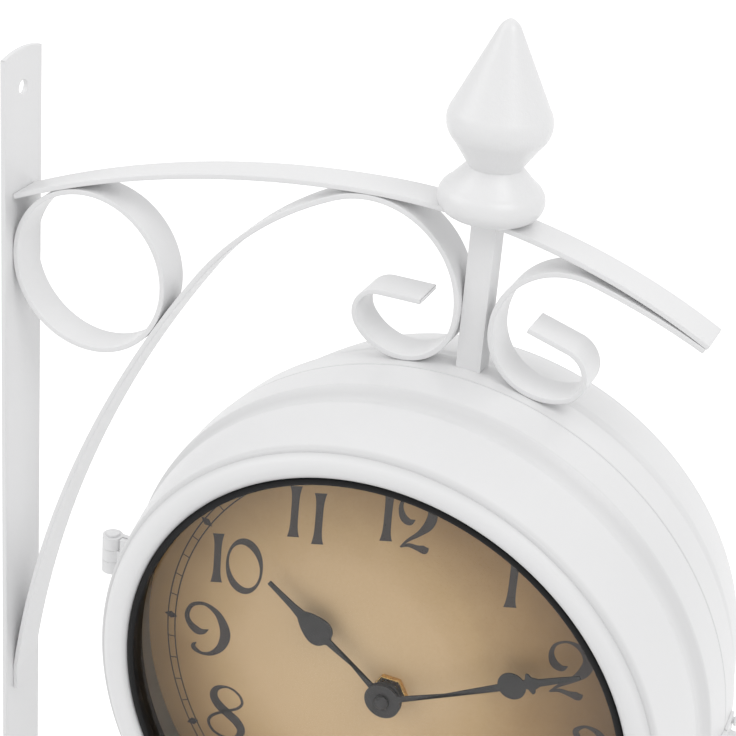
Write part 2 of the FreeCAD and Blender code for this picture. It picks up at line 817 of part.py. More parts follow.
def battery_contacts():
    room = MOVEMENT_SIDE / 2 - MOVEMENT_WALL
    half = 0.7 * BATTERY_RADIUS
    deep = battery_depth()
    low, high = BATTERY_HEIGHT - half, BATTERY_HEIGHT + half
    left = block(-room, CONTACT_THICK - room, deep - half, deep + half, low, high)
    right = block(room - CONTACT_THICK, room, deep - half, deep + half, low, high)
    dimple = along_battery(0.4 * BATTERY_RADIUS, -room, -BATTERY_LENGTH / 2 - BATTERY_NUB / 4 - TOUCH_GAP)
    return Part.makeCompound([joined([left, dimple]), right])


def rubber_washer():
    return ring(WASHER_RADIUS, BUSHING_RADIUS + 2 * TOUCH_GAP, HOUSING_FRONT, DIAL_BACK)


def brass_nut():
    corner = NUT_ACROSS_FLATS / math.sqrt(3)
    corners = [turn(corner, 60 * side) for side in range(7)]
    points = [at_case(point.x, DIAL_FRONT, point.z) for point in corners]
    body = Part.Face(Part.makePolygon(points)).extrude(V(0, -NUT_THICK, 0))
    return body.cut(disc(BUSHING_RADIUS + PIN_GAP, DIAL_FRONT, DIAL_FRONT + NUT_THICK))


def hour_pipe_front():
    return DIAL_FRONT + HOUR_HAND_LIFT + HAND_THICK + 2 * TOUCH_GAP


def minute_pinion_back():
    return cover_back() + PINION_DEPTH


def minute_arbor():
    """Arbor with its pinion; it runs in the cover and inside the hour pipe."""
    back = cover_back() + COVER_BORE_FLOOR + ARBOR_END_GAP
    front = DIAL_FRONT + MINUTE_HAND_LIFT + HAND_THICK + CAP_NUT_HEIGHT - CAP_NUT_ROOF
    pinion_back = minute_pinion_back()
    pinion = disc(MINUTE_PINION_RADIUS, pinion_back, pinion_back + PINION_THICK)
    return joined([disc(ARBOR_RADIUS, back, front), pinion])


def hour_wheel_back():
    return minute_pinion_back() + HOUR_WHEEL_LEAD


def hour_pipe():
    bore = ARBOR_RADIUS + RUNNING_GAP
    wheel_back = hour_wheel_back()
    back = wheel_back - HOUR_PIPE_TAIL
    tube = disc(PIPE_RADIUS, back, hour_pipe_front())
    wheel = disc(HOUR_WHEEL_RADIUS, wheel_back, wheel_back + HOUR_WHEEL_THICK)
    return joined([tube, wheel]).cut(disc(bore, back, hour_pipe_front()))


def setting_wheel():
    """Wheel and pinion between arbor and pipe, on the shaft of the setting knob."""
    drop = -SETTING_AXIS_DROP
    wheel_radius = SETTING_AXIS_DROP - MINUTE_PINION_RADIUS - WHEEL_GAP
    pinion_radius = SETTING_AXIS_DROP - HOUR_WHEEL_RADIUS - WHEEL_GAP
    floor = HOUSING_FRONT - MOVEMENT_WALL
    knob_front = cover_back() - 2 * TOUCH_GAP
    knob_back = knob_front - KNOB_THICK
    wheel_back = minute_pinion_back() + MINUTE_WHEEL_SETBACK
    pinion_back = hour_wheel_back() - 2 * TOUCH_GAP
    shaft = disc(SETTING_SHAFT_RADIUS, knob_back, floor + MOVEMENT_WALL / 2 - TOUCH_GAP, 0, drop)
    wheel = disc(wheel_radius, wheel_back, wheel_back + MINUTE_WHEEL_THICK, 0, drop)
    pinion = disc(pinion_radius, pinion_back, pinion_back + PINION_THICK, 0, drop)
    knob = disc(KNOB_RADIUS, knob_back, knob_front, 0, drop)
    return joined([shaft, wheel, pinion, knob])


# ---- hands ----
def hand_blade(start, steps, degrees, lift):
    """Flat blade from an outline of (along, side), along a clock angle."""
    ahead = turn(1.0, 90 - degrees)
    aside = turn(1.0, -degrees)
    back = DIAL_FRONT + lift

    def place(along, side):
        return at_case(0, back) + ahead * along + aside * side

    return outline(start, steps, place).extrude(V(0, -HAND_THICK, 0))


def mirrored(start, steps):
    """Outline steps down one side and back up the other, across side = 0."""
    other = [flip(step) for step in reverse(start, steps)]
    return steps + [flip(last_corner(steps))] + other


def last_corner(steps):
    return steps[-1][1] if isinstance(steps[-1][0], tuple) else steps[-1]


def flip(step):
    if isinstance(step[0], tuple):
        return (flip(step[0]), flip(step[1]))
    return (step[0], -step[1])


def hour_hand():
    bar = HOUR_BAR_WIDTH / 2
    drop = HOUR_DROP_RADIUS
    middle = HOUR_DROP_CENTRE
    start = (0.0, bar)
    neck = (middle - drop, bar)
    swell = (middle, drop)
    waist = (middle + 2.2 * drop, 0.25 * drop)
    steps = [
        neck,
        ((middle - 0.75 * drop, 0.7 * drop), swell),
        ((middle + 0.95 * drop, 0.68 * drop), waist),
        (HOUR_TIP, 0.3),
    ]
    blade = hand_blade(start, mirrored(start, steps), HOUR_ANGLE, HOUR_HAND_LIFT)
    return with_boss(blade, PIPE_RADIUS, HOUR_HAND_LIFT)


def minute_hand():
    bar = MINUTE_BAR_WIDTH / 2
    round_part = MINUTE_DISC_RADIUS
    middle = MINUTE_DISC_CENTRE
    thorn = MINUTE_THORN_CENTRE
    start = (0.0, bar)
    steps = [
        (middle - 0.97 * round_part, bar),
        ((middle, round_part), (middle + 0.97 * round_part, bar)),
        ((thorn - 1.6, 1.4 * bar), (thorn - 0.4, MINUTE_THORN_REACH)),
        ((thorn + 1.0, 1.5 * bar), (thorn + 3.4, 0.8 * bar)),
        (MINUTE_TIP, 0.3),
    ]
    blade = hand_blade(start, mirrored(start, steps), MINUTE_ANGLE, MINUTE_HAND_LIFT)
    return with_boss(blade, ARBOR_RADIUS, MINUTE_HAND_LIFT)


def with_boss(blade, bore, lift):
    back = DIAL_FRONT + lift
    boss = disc(HAND_BOSS_RADIUS, back, back + HAND_THICK)
    return joined([blade, boss]).cut(disc(bore + TOUCH_GAP / 5, back, back + HAND_THICK))


def cap_nut():
    back = DIAL_FRONT + MINUTE_HAND_LIFT + HAND_THICK
    top = back + CAP_NUT_HEIGHT
    steps = [
        (CAP_NUT_RADIUS, top - 0.5 * CAP_NUT_HEIGHT),
        ((0.76 * CAP_NUT_RADIUS, top - 0.16 * CAP_NUT_HEIGHT), (0.3 * CAP_NUT_RADIUS, top)),
        (0.0, top),
        (0.0, back),
    ]
    thread = disc(ARBOR_RADIUS + TOUCH_GAP / 5, back, top - CAP_NUT_ROOF + TOUCH_GAP)
    return turned((CAP_NUT_RADIUS, back), steps).cut(thread)


# ---- hinge at the wall side, catch at the outer side ----
def hinge_axis(radius, low, high):
    return upright(radius, CASE.z + low, CASE.z + high, HINGE_X, CASE.y)


def hinge_leaf(knuckles):
    """Leaf in front of the seam: a pad on the rim, an arm and its knuckles (low, high)."""
    half = HINGE_HEIGHT / 2
    spread = math.degrees(HINGE_HEIGHT / CASE_RADIUS)
    inner = rim_radius(SEAM_CLEAR) + TOUCH_GAP / 2
    end = LEAF_PAD_DEPTH
    far = rim_radius(end) + TOUCH_GAP / 2
    steps = [(inner + LEAF_THICK, SEAM_CLEAR), (far + LEAF_THICK, end), (far, end)]
    pad = turned((inner, SEAM_CLEAR), steps, 180 - spread / 2, spread)
    axis = HINGE_X - CASE_REACH
    clear = axis + KNUCKLE_RADIUS + KNUCKLE_CLEAR
    root = -inner
    front = SEAM_CLEAR + LEAF_ARM_THICK
    shapes = [pad, block(clear, root, SEAM_CLEAR, front, -half, half)]
    for low, high in knuckles:
        shapes.append(block(axis, clear + LEAF_ARM_THICK, SEAM_CLEAR, front, low, high))
        shapes.append(hinge_axis(KNUCKLE_RADIUS, low, high))
    hole = hinge_axis(HINGE_PIN_RADIUS + PIN_GAP, -half, half)
    return joined(shapes).cut(hole).cut(rim_keepout())


def rim_keepout():
    """Space of the half shell inside a fitting's pad."""
    outer = rim_radius(0.0) + TOUCH_GAP / 2
    far = rim_radius(RIM_DEPTH) + TOUCH_GAP / 2
    return turned((outer, 0.0), [(far, RIM_DEPTH), (0.0, RIM_DEPTH), (0.0, 0.0)])


def middle_knuckle():
    third = HINGE_HEIGHT / 6
    return [(PIN_GAP - third, third - PIN_GAP)]


def outer_knuckles():
    third = HINGE_HEIGHT / 6
    half = HINGE_HEIGHT / 2
    return [(-half, -third - PIN_GAP), (third + PIN_GAP, half)]


def mirror_seam(shape):
    """Copy of a front fitting on the rear side of the seam."""
    return shape.mirror(CASE, V(0, 1, 0))


def hinge_pin():
    half = HINGE_HEIGHT / 2
    pin = hinge_axis(HINGE_PIN_RADIUS, -half, half)
    top = hinge_axis(PIN_HEAD_RADIUS, half, half + PIN_HEAD_THICK)
    foot = hinge_axis(PIN_HEAD_RADIUS, -half - PIN_HEAD_THICK, -half)
    return joined([pin, top, foot])


def catch_tongue():
    """Pad on the front rim with a flat tongue that reaches back across the seam."""
    spread = math.degrees(CATCH_WIDTH / CASE_RADIUS)
    inner = rim_radius(SEAM_CLEAR) + TOUCH_GAP / 2
    end = LEAF_PAD_DEPTH
    far = rim_radius(end) + TOUCH_GAP / 2
    steps = [(inner + LEAF_THICK, SEAM_CLEAR), (far + LEAF_THICK, end), (far, end)]
    pad = turned((inner, SEAM_CLEAR), steps, -spread / 2, spread)
    left = inner + JAW_GAP
    right = inner + CATCH_REACH
    half = TONGUE_THICK / 2
    arm = block(inner + LEAF_THICK / 2, right, SEAM_CLEAR, LEAF_PAD_DEPTH, -half, half)
    reach = block(left + LEAF_THICK, right, -TONGUE_LENGTH, SEAM_CLEAR, -half, half)
    return joined([pad, arm, reach]).cut(rim_keepout())


def catch_clip():
    """Spring clip on the rear rim; its two jaws lie above and below the tongue."""
    spread = math.degrees(CATCH_WIDTH / CASE_RADIUS)
    inner = rim_radius(SEAM_CLEAR) + TOUCH_GAP / 2
    end = LEAF_PAD_DEPTH
    far = rim_radius(end) + TOUCH_GAP / 2
    base_wall = JAW_THICK
    steps = [(inner + base_wall, SEAM_CLEAR), (far + base_wall, end), (far, end)]
    pad = turned((inner, SEAM_CLEAR), steps, -spread / 2, spread)
    right = inner + CATCH_REACH
    low = TONGUE_THICK / 2 + JAW_GAP
    high = low + JAW_THICK
    upper = block(inner + base_wall / 2, right, SEAM_CLEAR, TONGUE_LENGTH, low, high)
    lower = block(inner + base_wall / 2, right, SEAM_CLEAR, TONGUE_LENGTH, -high, -low)
    return mirror_seam(joined([pad, upper, lower]).cut(rim_keepout()))


def rivet(side, depth, height, pad):
    """Rivet through a pad and the rim; side is -1 at the wall and +1 at the outer end."""
    outer = rim_radius(0.0) + pad + TOUCH_GAP
    inner = inner_radius(RIM_DEPTH) - TOUCH_GAP
    start = at_case(side * (inner - RIVET_HEAD_THICK), depth, height)
    out = V(side, 0, 0)
    head = Part.makeCylinder(RIVET_HEAD_RADIUS, RIVET_HEAD_THICK, start, out)
    shank = Part.makeCylinder(RIVET_RADIUS, outer - inner + 2 * RIVET_HEAD_THICK, start, out)
    cap_start = at_case(side * outer, depth, height)
    cap = Part.makeCylinder(RIVET_HEAD_RADIUS, RIVET_HEAD_THICK, cap_start, out)
    return joined([head, shank, cap])


def fitting_rivets(pad_at_catch):
    """Two rivets in the hinge pad and two in the catch pad, in front of the seam."""
    rivets = []
    high = CATCH_WIDTH / 2 - 1.1 * RIVET_HEAD_RADIUS
    far = LEAF_PAD_DEPTH - 1.25 * RIVET_HEAD_RADIUS
    for depth in (far - 2.4 * RIVET_HEAD_RADIUS, far):
        rivets.append(rivet(-1, depth, 0.0, LEAF_THICK))
    for height in (-high, high):
        rivets.append(rivet(1, far, height, pad_at_catch))
    return rivets


def pierced(shape, rivets):
    """The shape with a clearance hole round each rivet shank."""
    for item in rivets:
        box = item.BoundBox
        centre = V(box.XMin, box.Center.y, box.Center.z)
        hole = Part.makeCylinder(RIVET_RADIUS + PIN_GAP, box.XLength, centre, V(1, 0, 0))
        shape = shape.cut(hole)
    return shape


# ---- the whole clock ----
def rear_shell(rivets):
    spigot_outer = inner_radius(0.0) - SPIGOT_GAP
    spigot_inner = spigot_outer - SPIGOT_WALL
    root = inner_radius(SPIGOT_ROOT) + SHELL_WALL / 2
    steps = [
        (spigot_outer, -SPIGOT_REACH),
        (spigot_outer, SPIGOT_START),
        (root, SPIGOT_START + SPIGOT_GAP),
        (root, SPIGOT_ROOT),
        (spigot_inner, SPIGOT_ROOT),
    ]
    spigot = turned((spigot_inner, -SPIGOT_REACH), steps)
    shell = to_rear(joined([half_shell(), spigot]))
    return pierced(shell, rivets).cut(post_screw_shank(PIN_GAP))


def both_halves():
    """Pieces that are the same in front and behind."""
    return {
        "bezel_ring": bezel_ring(),
        "gasket": gasket(),
        "glass": glass(),
        "spacer_sleeve": spacer_sleeve(),
        "dial": dial(),
        "dial_brackets": dial_brackets(),
        "dial_screws": dial_screws(),
        "movement_housing": movement_housing(),
        "movement_cover": movement_cover(),
        "battery": battery(),
        "battery_contacts": battery_contacts(),
        "rubber_washer": rubber_washer(),
        "brass_nut": brass_nut(),
        "minute_arbor": minute_arbor(),
        "hour_pipe": hour_pipe(),
        "setting_wheel": setting_wheel(),
        "hour_hand": hour_hand(),
        "minute_hand": minute_hand(),
        "cap_nut": cap_nut(),
    }


def build():
    front_rivets = fitting_rivets(LEAF_THICK)
    rear_rivets = [mirror_seam(item) for item in fitting_rivets(JAW_THICK)]
    parts = {
        "wall_strip": wall_strip(),
        "top_arm": arm(),
        "hoop": hoop(),
        "large_scroll": flat_bar(large_scroll_path()),
        "small_scroll": flat_bar(small_scroll_path()),
        "post": post(),
        "finial": finial(),
        "finial_stud": stud_hole(),
        "post_screw": post_screw(),
        "post_plate": post_plate(),
        "hinge_leaf_front": pierced(hinge_leaf(middle_knuckle()), front_rivets),
        "hinge_leaf_rear": pierced(mirror_seam(hinge_leaf(outer_knuckles())), rear_rivets),
        "hinge_pin": hinge_pin(),
        "catch_tongue": pierced(catch_tongue(), front_rivets),
        "catch_clip": pierced(catch_clip(), rear_rivets),
        "fitting_rivets_front": Part.makeCompound(front_rivets),
        "fitting_rivets_rear": Part.makeCompound(rear_rivets),
        "front_half_shell": pierced(half_shell(), front_rivets),
        "rear_half_shell": rear_shell(rear_rivets),
    }
    for name, shape in both_halves().items():
        parts["front_" + name] = shape
        parts["rear_" + name] = to_rear(shape)
    return parts


os.makedirs("parts", exist_ok=True)
for node, shape in build().items():
    shape.exportStep(os.path.join("parts", node + ".step"))
    print(node, len(shape.Solids), shape.isValid(), round(shape.Volume, 1))
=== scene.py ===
import math

import bpy
from mathutils import Matrix, Vector


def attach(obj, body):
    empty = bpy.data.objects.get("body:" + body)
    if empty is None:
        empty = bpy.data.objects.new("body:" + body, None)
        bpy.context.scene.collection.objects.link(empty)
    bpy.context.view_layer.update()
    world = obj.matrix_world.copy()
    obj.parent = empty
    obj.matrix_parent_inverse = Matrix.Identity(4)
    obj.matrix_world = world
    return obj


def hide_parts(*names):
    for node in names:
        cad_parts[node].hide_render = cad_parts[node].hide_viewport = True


# Looks of the double sided station clock. Lengths below are millimetres in the frame of the part:
# +X points away from the wall, -Y towards the front dial, +Z up.

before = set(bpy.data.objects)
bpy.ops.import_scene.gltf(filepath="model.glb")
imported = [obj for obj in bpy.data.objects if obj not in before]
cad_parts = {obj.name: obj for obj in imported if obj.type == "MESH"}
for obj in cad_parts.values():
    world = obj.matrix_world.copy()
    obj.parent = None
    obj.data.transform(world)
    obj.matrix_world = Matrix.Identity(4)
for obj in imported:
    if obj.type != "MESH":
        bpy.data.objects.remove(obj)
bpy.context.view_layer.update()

MM = 0.001
REAR = "bracket_and_rear_case"
FRONT = "front_case"
FLOOR_HEIGHT = -0.27  # metres
MIDDLE = (0.15, -0.01, 0.02)  # metres

# ---- sizes shared with the solids ----
BAR_WIDTH = 15.0
BAR_THICK = 2.0
STRIP_THICK = 2.0
STRIP_WIDTH = 25.0
STRIP_LENGTH = 350.0
STRIP_CROWN = 2.0
HOLE_HEIGHT = 160.0
HOLE_RADIUS = 2.75
CASE = Vector((181.1, -12.1, -17.0))
CASE_RADIUS = 114.7
RIM_TAPER = 0.7
RIM_DEPTH = 12.8
COVE_START = 15.8
COVE_END = 25.0
COVE_STEP = 3.0
COVE_LEAD = 0.3
MOUTH_RADIUS = 105.7
HALF_DEPTH = 51.0
SHELL_WALL = 1.2
MOUTH_FLANGE = 2.2
BEAD_OUTER = 104.4
BEAD_CREST = 3.1
SIGHT_RADIUS = 95.0
GASKET_LIP = 92.3
GASKET_BACK = 39.0
GLASS_RADIUS = 99.2
GLASS_FRONT = 48.3
GLASS_THICK = 2.0
DIAL_FRONT = 27.7
SLEEVE_BASE = 98.4
SLEEVE_WALL = 1.2
SKIRT_WALL = 1.4
SKIRT_LENGTH = 10.0
BEAD_METAL = 1.0
POST_X = 184.3
FINIAL_SEAT = 155.033
FINIAL_HEIGHT = 67.0
HAND_THICK = 0.6
BOSS_RADIUS = 6.8
HOUR_LIFT = 5.8
MINUTE_LIFT = 7.6
HOUR_BORE = 2.6
MINUTE_BORE = 1.52
CAP_RADIUS = 2.8
CAP_HEIGHT = 2.0
CAP_SHOULDER, CAP_FALL, CAP_FLAT = 2.13, 0.32, 0.84

# stations of the turned finial as (radius, height): round base, sharp neck, tapering bulb
FINIAL_FOOT = (15.0, 0.0)
FINIAL_BASE = (18.2, 4.6)
FINIAL_BASE_TOP = (15.3, 10.4)
FINIAL_NECK = (9.3, 17.0)
FINIAL_SWELL = (15.0, 25.6)
FINIAL_BULB = (17.8, 31.6)
FINIAL_TAPER = (16.3, 37.6)
FINIAL_POINT = (4.0, 63.6)
FINIAL_TIP_SIDE = (3.0, 65.3)
FINIAL_TIP = (1.0, FINIAL_HEIGHT)

# bars of the bracket: start, heading above +X, runs of (length, None) or (radius, turn)
ARM = ((2.0, 119.4), 24.6, [(400.0, -21.24), (235.0, -30.6)])
LARGE_SCROLL = ((3.0, -102.575), 90.0, [
    (10.0, None), (15.0, -8.0), (462.345, -26.4), (127.0, -30.5), (33.9, -125.6),
    (19.632, -133.5), (9.0, -124.7), (15.5, None)])
SMALL_SCROLL = ((265.115, 127.718), 155.858, [
    (233.3, 10.6), (26.4, 106.3), (20.841, 110.7), (9.8, 141.0), (15.4, None)])
HOOP_RADIUS = 32.11
HOOP_CENTRE = (34.21, 97.023)

# ---- details that the solids leave plain ----
BAR_EDGE = 0.42
STRIP_EDGE = 0.4
HAND_EDGE = 0.12
COVE_DIP = 0.35
COVE_DIP_SHARE = 0.4
FLANK_BOW = 0.35
BEAD_SHOULDER = 0.2
BEAD_LEAN = 0.5
CLOSE_GAP = 0.1
HAIR_GAP = 0.05
SLEEVE_GAP = 0.4
GASKET_CREST = 0.8
GASKET_CREST_OUT = 0.9
GASKET_BACK_STEP = 1.3
FINE_ROUND = 0.3
GLASS_ROUND = 0.35
SLEEVE_ROUND = 0.2
LATHE_STEPS = 288
SHELL_STEPS = 360


# ---- helpers: meshes ----
def piece(name, verts, faces, material, body, nodes=(), flat=False):
    """A mesh piece from vertices in millimetres, riding on a body."""
    mesh = bpy.data.meshes.new(name)
    mesh.from_pydata([Vector(v) * MM for v in verts], [], faces)
    mesh.validate()
    return dressed(name, mesh, material, body, nodes, flat)


def dressed(name, mesh, material, body, nodes=(), flat=False):
    mesh.materials.clear()
    mesh.materials.append(material)
    obj = bpy.data.objects.new(name, mesh)
    bpy.context.scene.collection.objects.link(obj)
    for polygon in mesh.polygons:
        polygon.use_smooth = not flat
    if not flat:
        weighted = obj.modifiers.new("weighted", "WEIGHTED_NORMAL")
        weighted.keep_sharp = True
    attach(obj, body)
    if nodes:
        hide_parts(*nodes)
    return obj


def outward(verts, faces):
    """Faces turned so that a closed mesh has its normals outside."""
    volume = 0.0
    for face in faces:
        a = Vector(verts[face[0]])
        for second, third in zip(face[1:-1], face[2:]):
            volume += a.dot(Vector(verts[second]).cross(Vector(verts[third])))
    if volume < 0:
        return [tuple(reversed(face)) for face in faces]
    return faces


def at_case(across, depth, height=0.0):
    return CASE + Vector((across, -depth, height))


def rear_side(verts):
    """The rear half is the front half turned about the case's upright axis."""
    return [(2 * CASE.x - v[0], 2 * CASE.y - v[1], v[2]) for v in verts]


def arc(start, via, end, steps):
    """Points of the circle through three points of a plane, without the first."""
    (ax, ay), (bx, by), (cx, cy) = start, via, end
    d = 2 * (ax * (by - cy) + bx * (cy - ay) + cx * (ay - by))
    a2, b2, c2 = ax * ax + ay * ay, bx * bx + by * by, cx * cx + cy * cy
    ux = (a2 * (by - cy) + b2 * (cy - ay) + c2 * (ay - by)) / d
    uy = (a2 * (cx - bx) + b2 * (ax - cx) + c2 * (bx - ax)) / d
    radius = math.hypot(ax - ux, ay - uy)
    first = math.atan2(ay - uy, ax - ux)
    middle = (math.atan2(by - uy, bx - ux) - first) % math.tau
    last = (math.atan2(cy - uy, cx - ux) - first) % math.tau
    if middle > last:
        last -= math.tau
    points = []
    for step in range(1, steps + 1):
        angle = first + last * step / steps
        points.append((ux + radius * math.cos(angle), uy + radius * math.sin(angle)))
    return points


def soften(corners, steps=4):
    """Closed outline with its corners rounded; a corner is (a, b, radius)."""
    points = []
    count = len(corners)
    for number, (px, py, radius) in enumerate(corners):
        here = Vector((px, py))
        if radius == 0:
            points.append((px, py))
            continue
        before = Vector(corners[number - 1][:2]) - here
        after = Vector(corners[(number + 1) % count][:2]) - here
        half = before.angle(after) / 2
        cut = min(radius / math.tan(half), 0.49 * before.length, 0.49 * after.length)
        a = here + before.normalized() * cut
        b = here + after.normalized() * cut
        bisector = (before.normalized() + after.normalized()).normalized()
        real = cut * math.tan(half)
        middle = here + bisector * (real / math.sin(half) - real)
        points.append(tuple(a))
        points.extend(arc(tuple(a), tuple(middle), tuple(b), steps))
    return points


def lathe(profile, place, segments):
    """Closed ring or solid from a closed outline of (radius, along); radii of zero make poles."""
    verts, rows = [], []
    for radius, along in profile:
        if radius < 1e-6:
            rows.append([len(verts)])
            verts.append(place(0.0, 0.0, along))
            continue
        row = []
        for number in range(segments):
            angle = math.tau * number / segments
            row.append(len(verts))
            verts.append(place(radius * math.cos(angle), radius * math.sin(angle), along))
        rows.append(row)
    faces = []
    for number in range(len(rows)):
        here, there = rows[number], rows[(number + 1) % len(rows)]
        if len(here) == 1 and len(there) == 1:
            continue
        for step in range(segments):
            after = (step + 1) % segments
            if len(here) == 1:
                faces.append((here[0], there[step], there[after]))
            elif len(there) == 1:
                faces.append((here[step], there[0], here[after]))
            else:
                faces.append((here[step], there[step], there[after], here[after]))
    return verts, outward(verts, faces)


def case_lathe(profile, segments=LATHE_STEPS):
    def place(across, height, depth):
        return tuple(at_case(across, depth, height))

    return lathe(profile, place, segments)


def on_both(stem, verts, faces, material, nodes, flat=False):
    """A piece in the front half and its turned copy in the rear half."""
    ahead = ["front_" + n for n in nodes]
    behind = ["rear_" + n for n in nodes]
    piece("front_" + stem, verts, faces, material, FRONT, ahead, flat)
    piece("rear_" + stem, rear_side(verts), faces, material, REAR, behind, flat)


def rounded_section(half_a, half_b, radius, inset, steps=4):
    """Points round a rectangle with round corners, drawn in by an inset."""
    a, b = half_a - inset, half_b - inset
    r = max(radius - inset, 0.02)
    corners = [(-a, -b, r), (a, -b, r), (a, b, r), (-a, b, r)]
    return soften(corners, steps)


def bar_rows(path, spacing):
    """Points and headings along tangent runs."""
    (x, z), heading, runs = path
    rows = [(x, z, heading)]
    for size, sweep in runs:
        x, z, heading = rows[-1]
        ahead = math.radians(heading)
        if sweep is None:
            steps = max(2, math.ceil(size / spacing))
            for step in range(1, steps + 1):
                run = size * step / steps
                rows.append((x + run * math.cos(ahead), z + run * math.sin(ahead), heading))
            continue
        side = math.copysign(size, sweep)
        cx, cz = x - side * math.sin(ahead), z + side * math.cos(ahead)
        length = size * math.radians(abs(sweep))
        steps = max(6, math.ceil(length / spacing), math.ceil(abs(sweep) / 3.0))
        for step in range(1, steps + 1):
            turned = heading + sweep * step / steps
            angle = math.radians(turned)
            rows.append((cx + side * math.sin(angle), cz - side * math.cos(angle), turned))
    return rows


def flat_bar(path, spacing=1.6, edge=BAR_EDGE, wall=None):
    """Swept flat bar with rounded edges and ends; wall is an X plane that its first end meets."""
    rows = bar_rows(path, spacing)
    cap = [(edge, 0.0), (0.45 * edge, 0.12 * edge), (0.12 * edge, 0.45 * edge), (0.0, edge)]
    stations = []
    for number, (x, z, heading) in enumerate(rows):
        ahead, up = math.cos(math.radians(heading)), math.sin(math.radians(heading))
        if number == 0 and wall is None:
            for inset, run in cap:
                stations.append((x + run * ahead, z + run * up, heading, inset))
        elif number == len(rows) - 1:
            for inset, run in reversed(cap):
                stations.append((x - run * ahead, z - run * up, heading, inset))
        else:
            stations.append((x, z, heading, 0.0))
    verts, faces = [], []
    size = 0
    for number, (x, z, heading, inset) in enumerate(stations):
        section = rounded_section(BAR_THICK / 2, BAR_WIDTH / 2, edge, inset)
        size = len(section)
        angle = math.radians(heading)
        for side, along in section:
            px, pz = x - side * math.sin(angle), z + side * math.cos(angle)
            if number == 0 and wall is not None:
                pz += (wall - px) * math.tan(angle)
                px = wall
            verts.append((px, along, pz))
    for number in range(len(stations) - 1):
        first, second = number * size, (number + 1) * size
        for step in range(size):
            after = (step + 1) % size
            faces.append((first + step, first + after, second + after, second + step))
    faces.append(tuple(range(size)))
    faces.append(tuple(reversed(range(len(verts) - size, len(verts)))))
    return verts, outward(verts, faces)


def plate(splines, half_thick, edge, place, resolution=3):
    """Flat plate with rounded edges from closed outlines; inner outlines are holes."""
    curve = bpy.data.curves.new("outline", "CURVE")
    curve.dimensions = "2D"
    curve.fill_mode = "BOTH"
    curve.extrude = (half_thick - edge) * MM
    curve.bevel_depth = edge * MM
    curve.bevel_resolution = resolution
    curve.offset = -edge * MM
    for points in splines:
        spline = curve.splines.new("POLY")
        spline.points.add(len(points) - 1)
        for number, (a, b) in enumerate(points):
            spline.points[number].co = (a * MM, b * MM, 0.0, 1.0)
        spline.use_cyclic_u = True
    holder = bpy.data.objects.new("outline", curve)
    bpy.context.scene.collection.objects.link(holder)
    bpy.context.view_layer.update()
    graph = bpy.context.evaluated_depsgraph_get()
    mesh = bpy.data.meshes.new_from_object(holder.evaluated_get(graph))
    bpy.data.objects.remove(holder)
    mesh.transform(place)
    return mesh


def circle(radius, count, centre=(0.0, 0.0)):
    return [(centre[0] + radius * math.cos(math.tau * n / count),
             centre[1] + radius * math.sin(math.tau * n / count)) for n in range(count)]


# ---- helpers: materials ----
def fresh(name):
    material = bpy.data.materials.new(name)
    material.use_nodes = True
    nodes, links = material.node_tree.nodes, material.node_tree.links
    return material, nodes, links, nodes["Principled BSDF"]


def texture(nodes, links, kind, scale, **values):
    """A 3-D texture on the object's own coordinates, in features per metre."""
    where = nodes.new("ShaderNodeTexCoord")
    node = nodes.new(kind)
    links.new(where.outputs["Object"], node.inputs["Vector"])
    node.inputs["Scale"].default_value = scale
    for name, value in values.items():
        node.inputs[name].default_value = value
    return node


def ramp(nodes, links, source, stops):
    node = nodes.new("ShaderNodeValToRGB")
    while len(node.color_ramp.elements) < len(stops):
        node.color_ramp.elements.new(0.5)
    for element, (place, colour) in zip(node.color_ramp.elements, stops):
        element.position = place
        element.color = (*colour, 1.0)
    links.new(source, node.inputs["Fac"])
    return node.outputs["Color"]


def spread(nodes, links, source, low, high, first=0.3, last=0.7):
    node = nodes.new("ShaderNodeMapRange")
    node.inputs["From Min"].default_value = first
    node.inputs["From Max"].default_value = last
    node.inputs["To Min"].default_value = low
    node.inputs["To Max"].default_value = high
    links.new(source, node.inputs["Value"])
    return node.outputs["Result"]


def worked(nodes, links, operation, *values):
    """Result of a math node on sockets or plain numbers."""
    node = nodes.new("ShaderNodeMath")
    node.operation = operation
    for number, value in enumerate(values):
        if isinstance(value, float):
            node.inputs[number].default_value = value
        else:
            links.new(value, node.inputs[number])
    return node.outputs["Value"]


def multiplied(nodes, links, factor, first, second):
    """First colour multiplied by the second one, as far as the factor says."""
    node = nodes.new("ShaderNodeMix")
    node.data_type = "RGBA"
    node.blend_type = "MULTIPLY"
    for name, value in (("Factor", factor), ("A", first), ("B", second)):
        if isinstance(value, (float, tuple)):
            node.inputs[name].default_value = value
        else:
            links.new(value, node.inputs[name])
    return node.outputs["Result"]


def own_place(nodes, links):
    """The object's own X, Y and Z, in metres."""
    where = nodes.new("ShaderNodeTexCoord")
    split = nodes.new("ShaderNodeSeparateXYZ")
    links.new(where.outputs["Object"], split.inputs["Vector"])
    return split.outputs


def seen_directly(nodes, links):
    """One for rays of the camera, of reflections and through glass, and nought for the rest."""
    path = nodes.new("ShaderNodeLightPath").outputs
    plain = worked(nodes, links, "ADD", path["Is Camera Ray"], path["Is Glossy Ray"])
    seen = worked(nodes, links, "ADD", plain, path["Is Transmission Ray"])
    seen.node.use_clamp = True
    return seen


def bump(nodes, links, shader, heights, distance):
    """Surface relief from one or more (socket, strength)."""
    normal = None
    for socket, strength in heights:
        node = nodes.new("ShaderNodeBump")
        node.inputs["Strength"].default_value = strength
        node.inputs["Distance"].default_value = distance
        links.new(socket, node.inputs["Height"])
        if normal is not None:
            links.new(normal, node.inputs["Normal"])
        normal = node.outputs["Normal"]
    links.new(normal, shader.inputs["Normal"])


def tint(colour, factor):
    return tuple(min(1.0, channel * factor) for channel in colour)


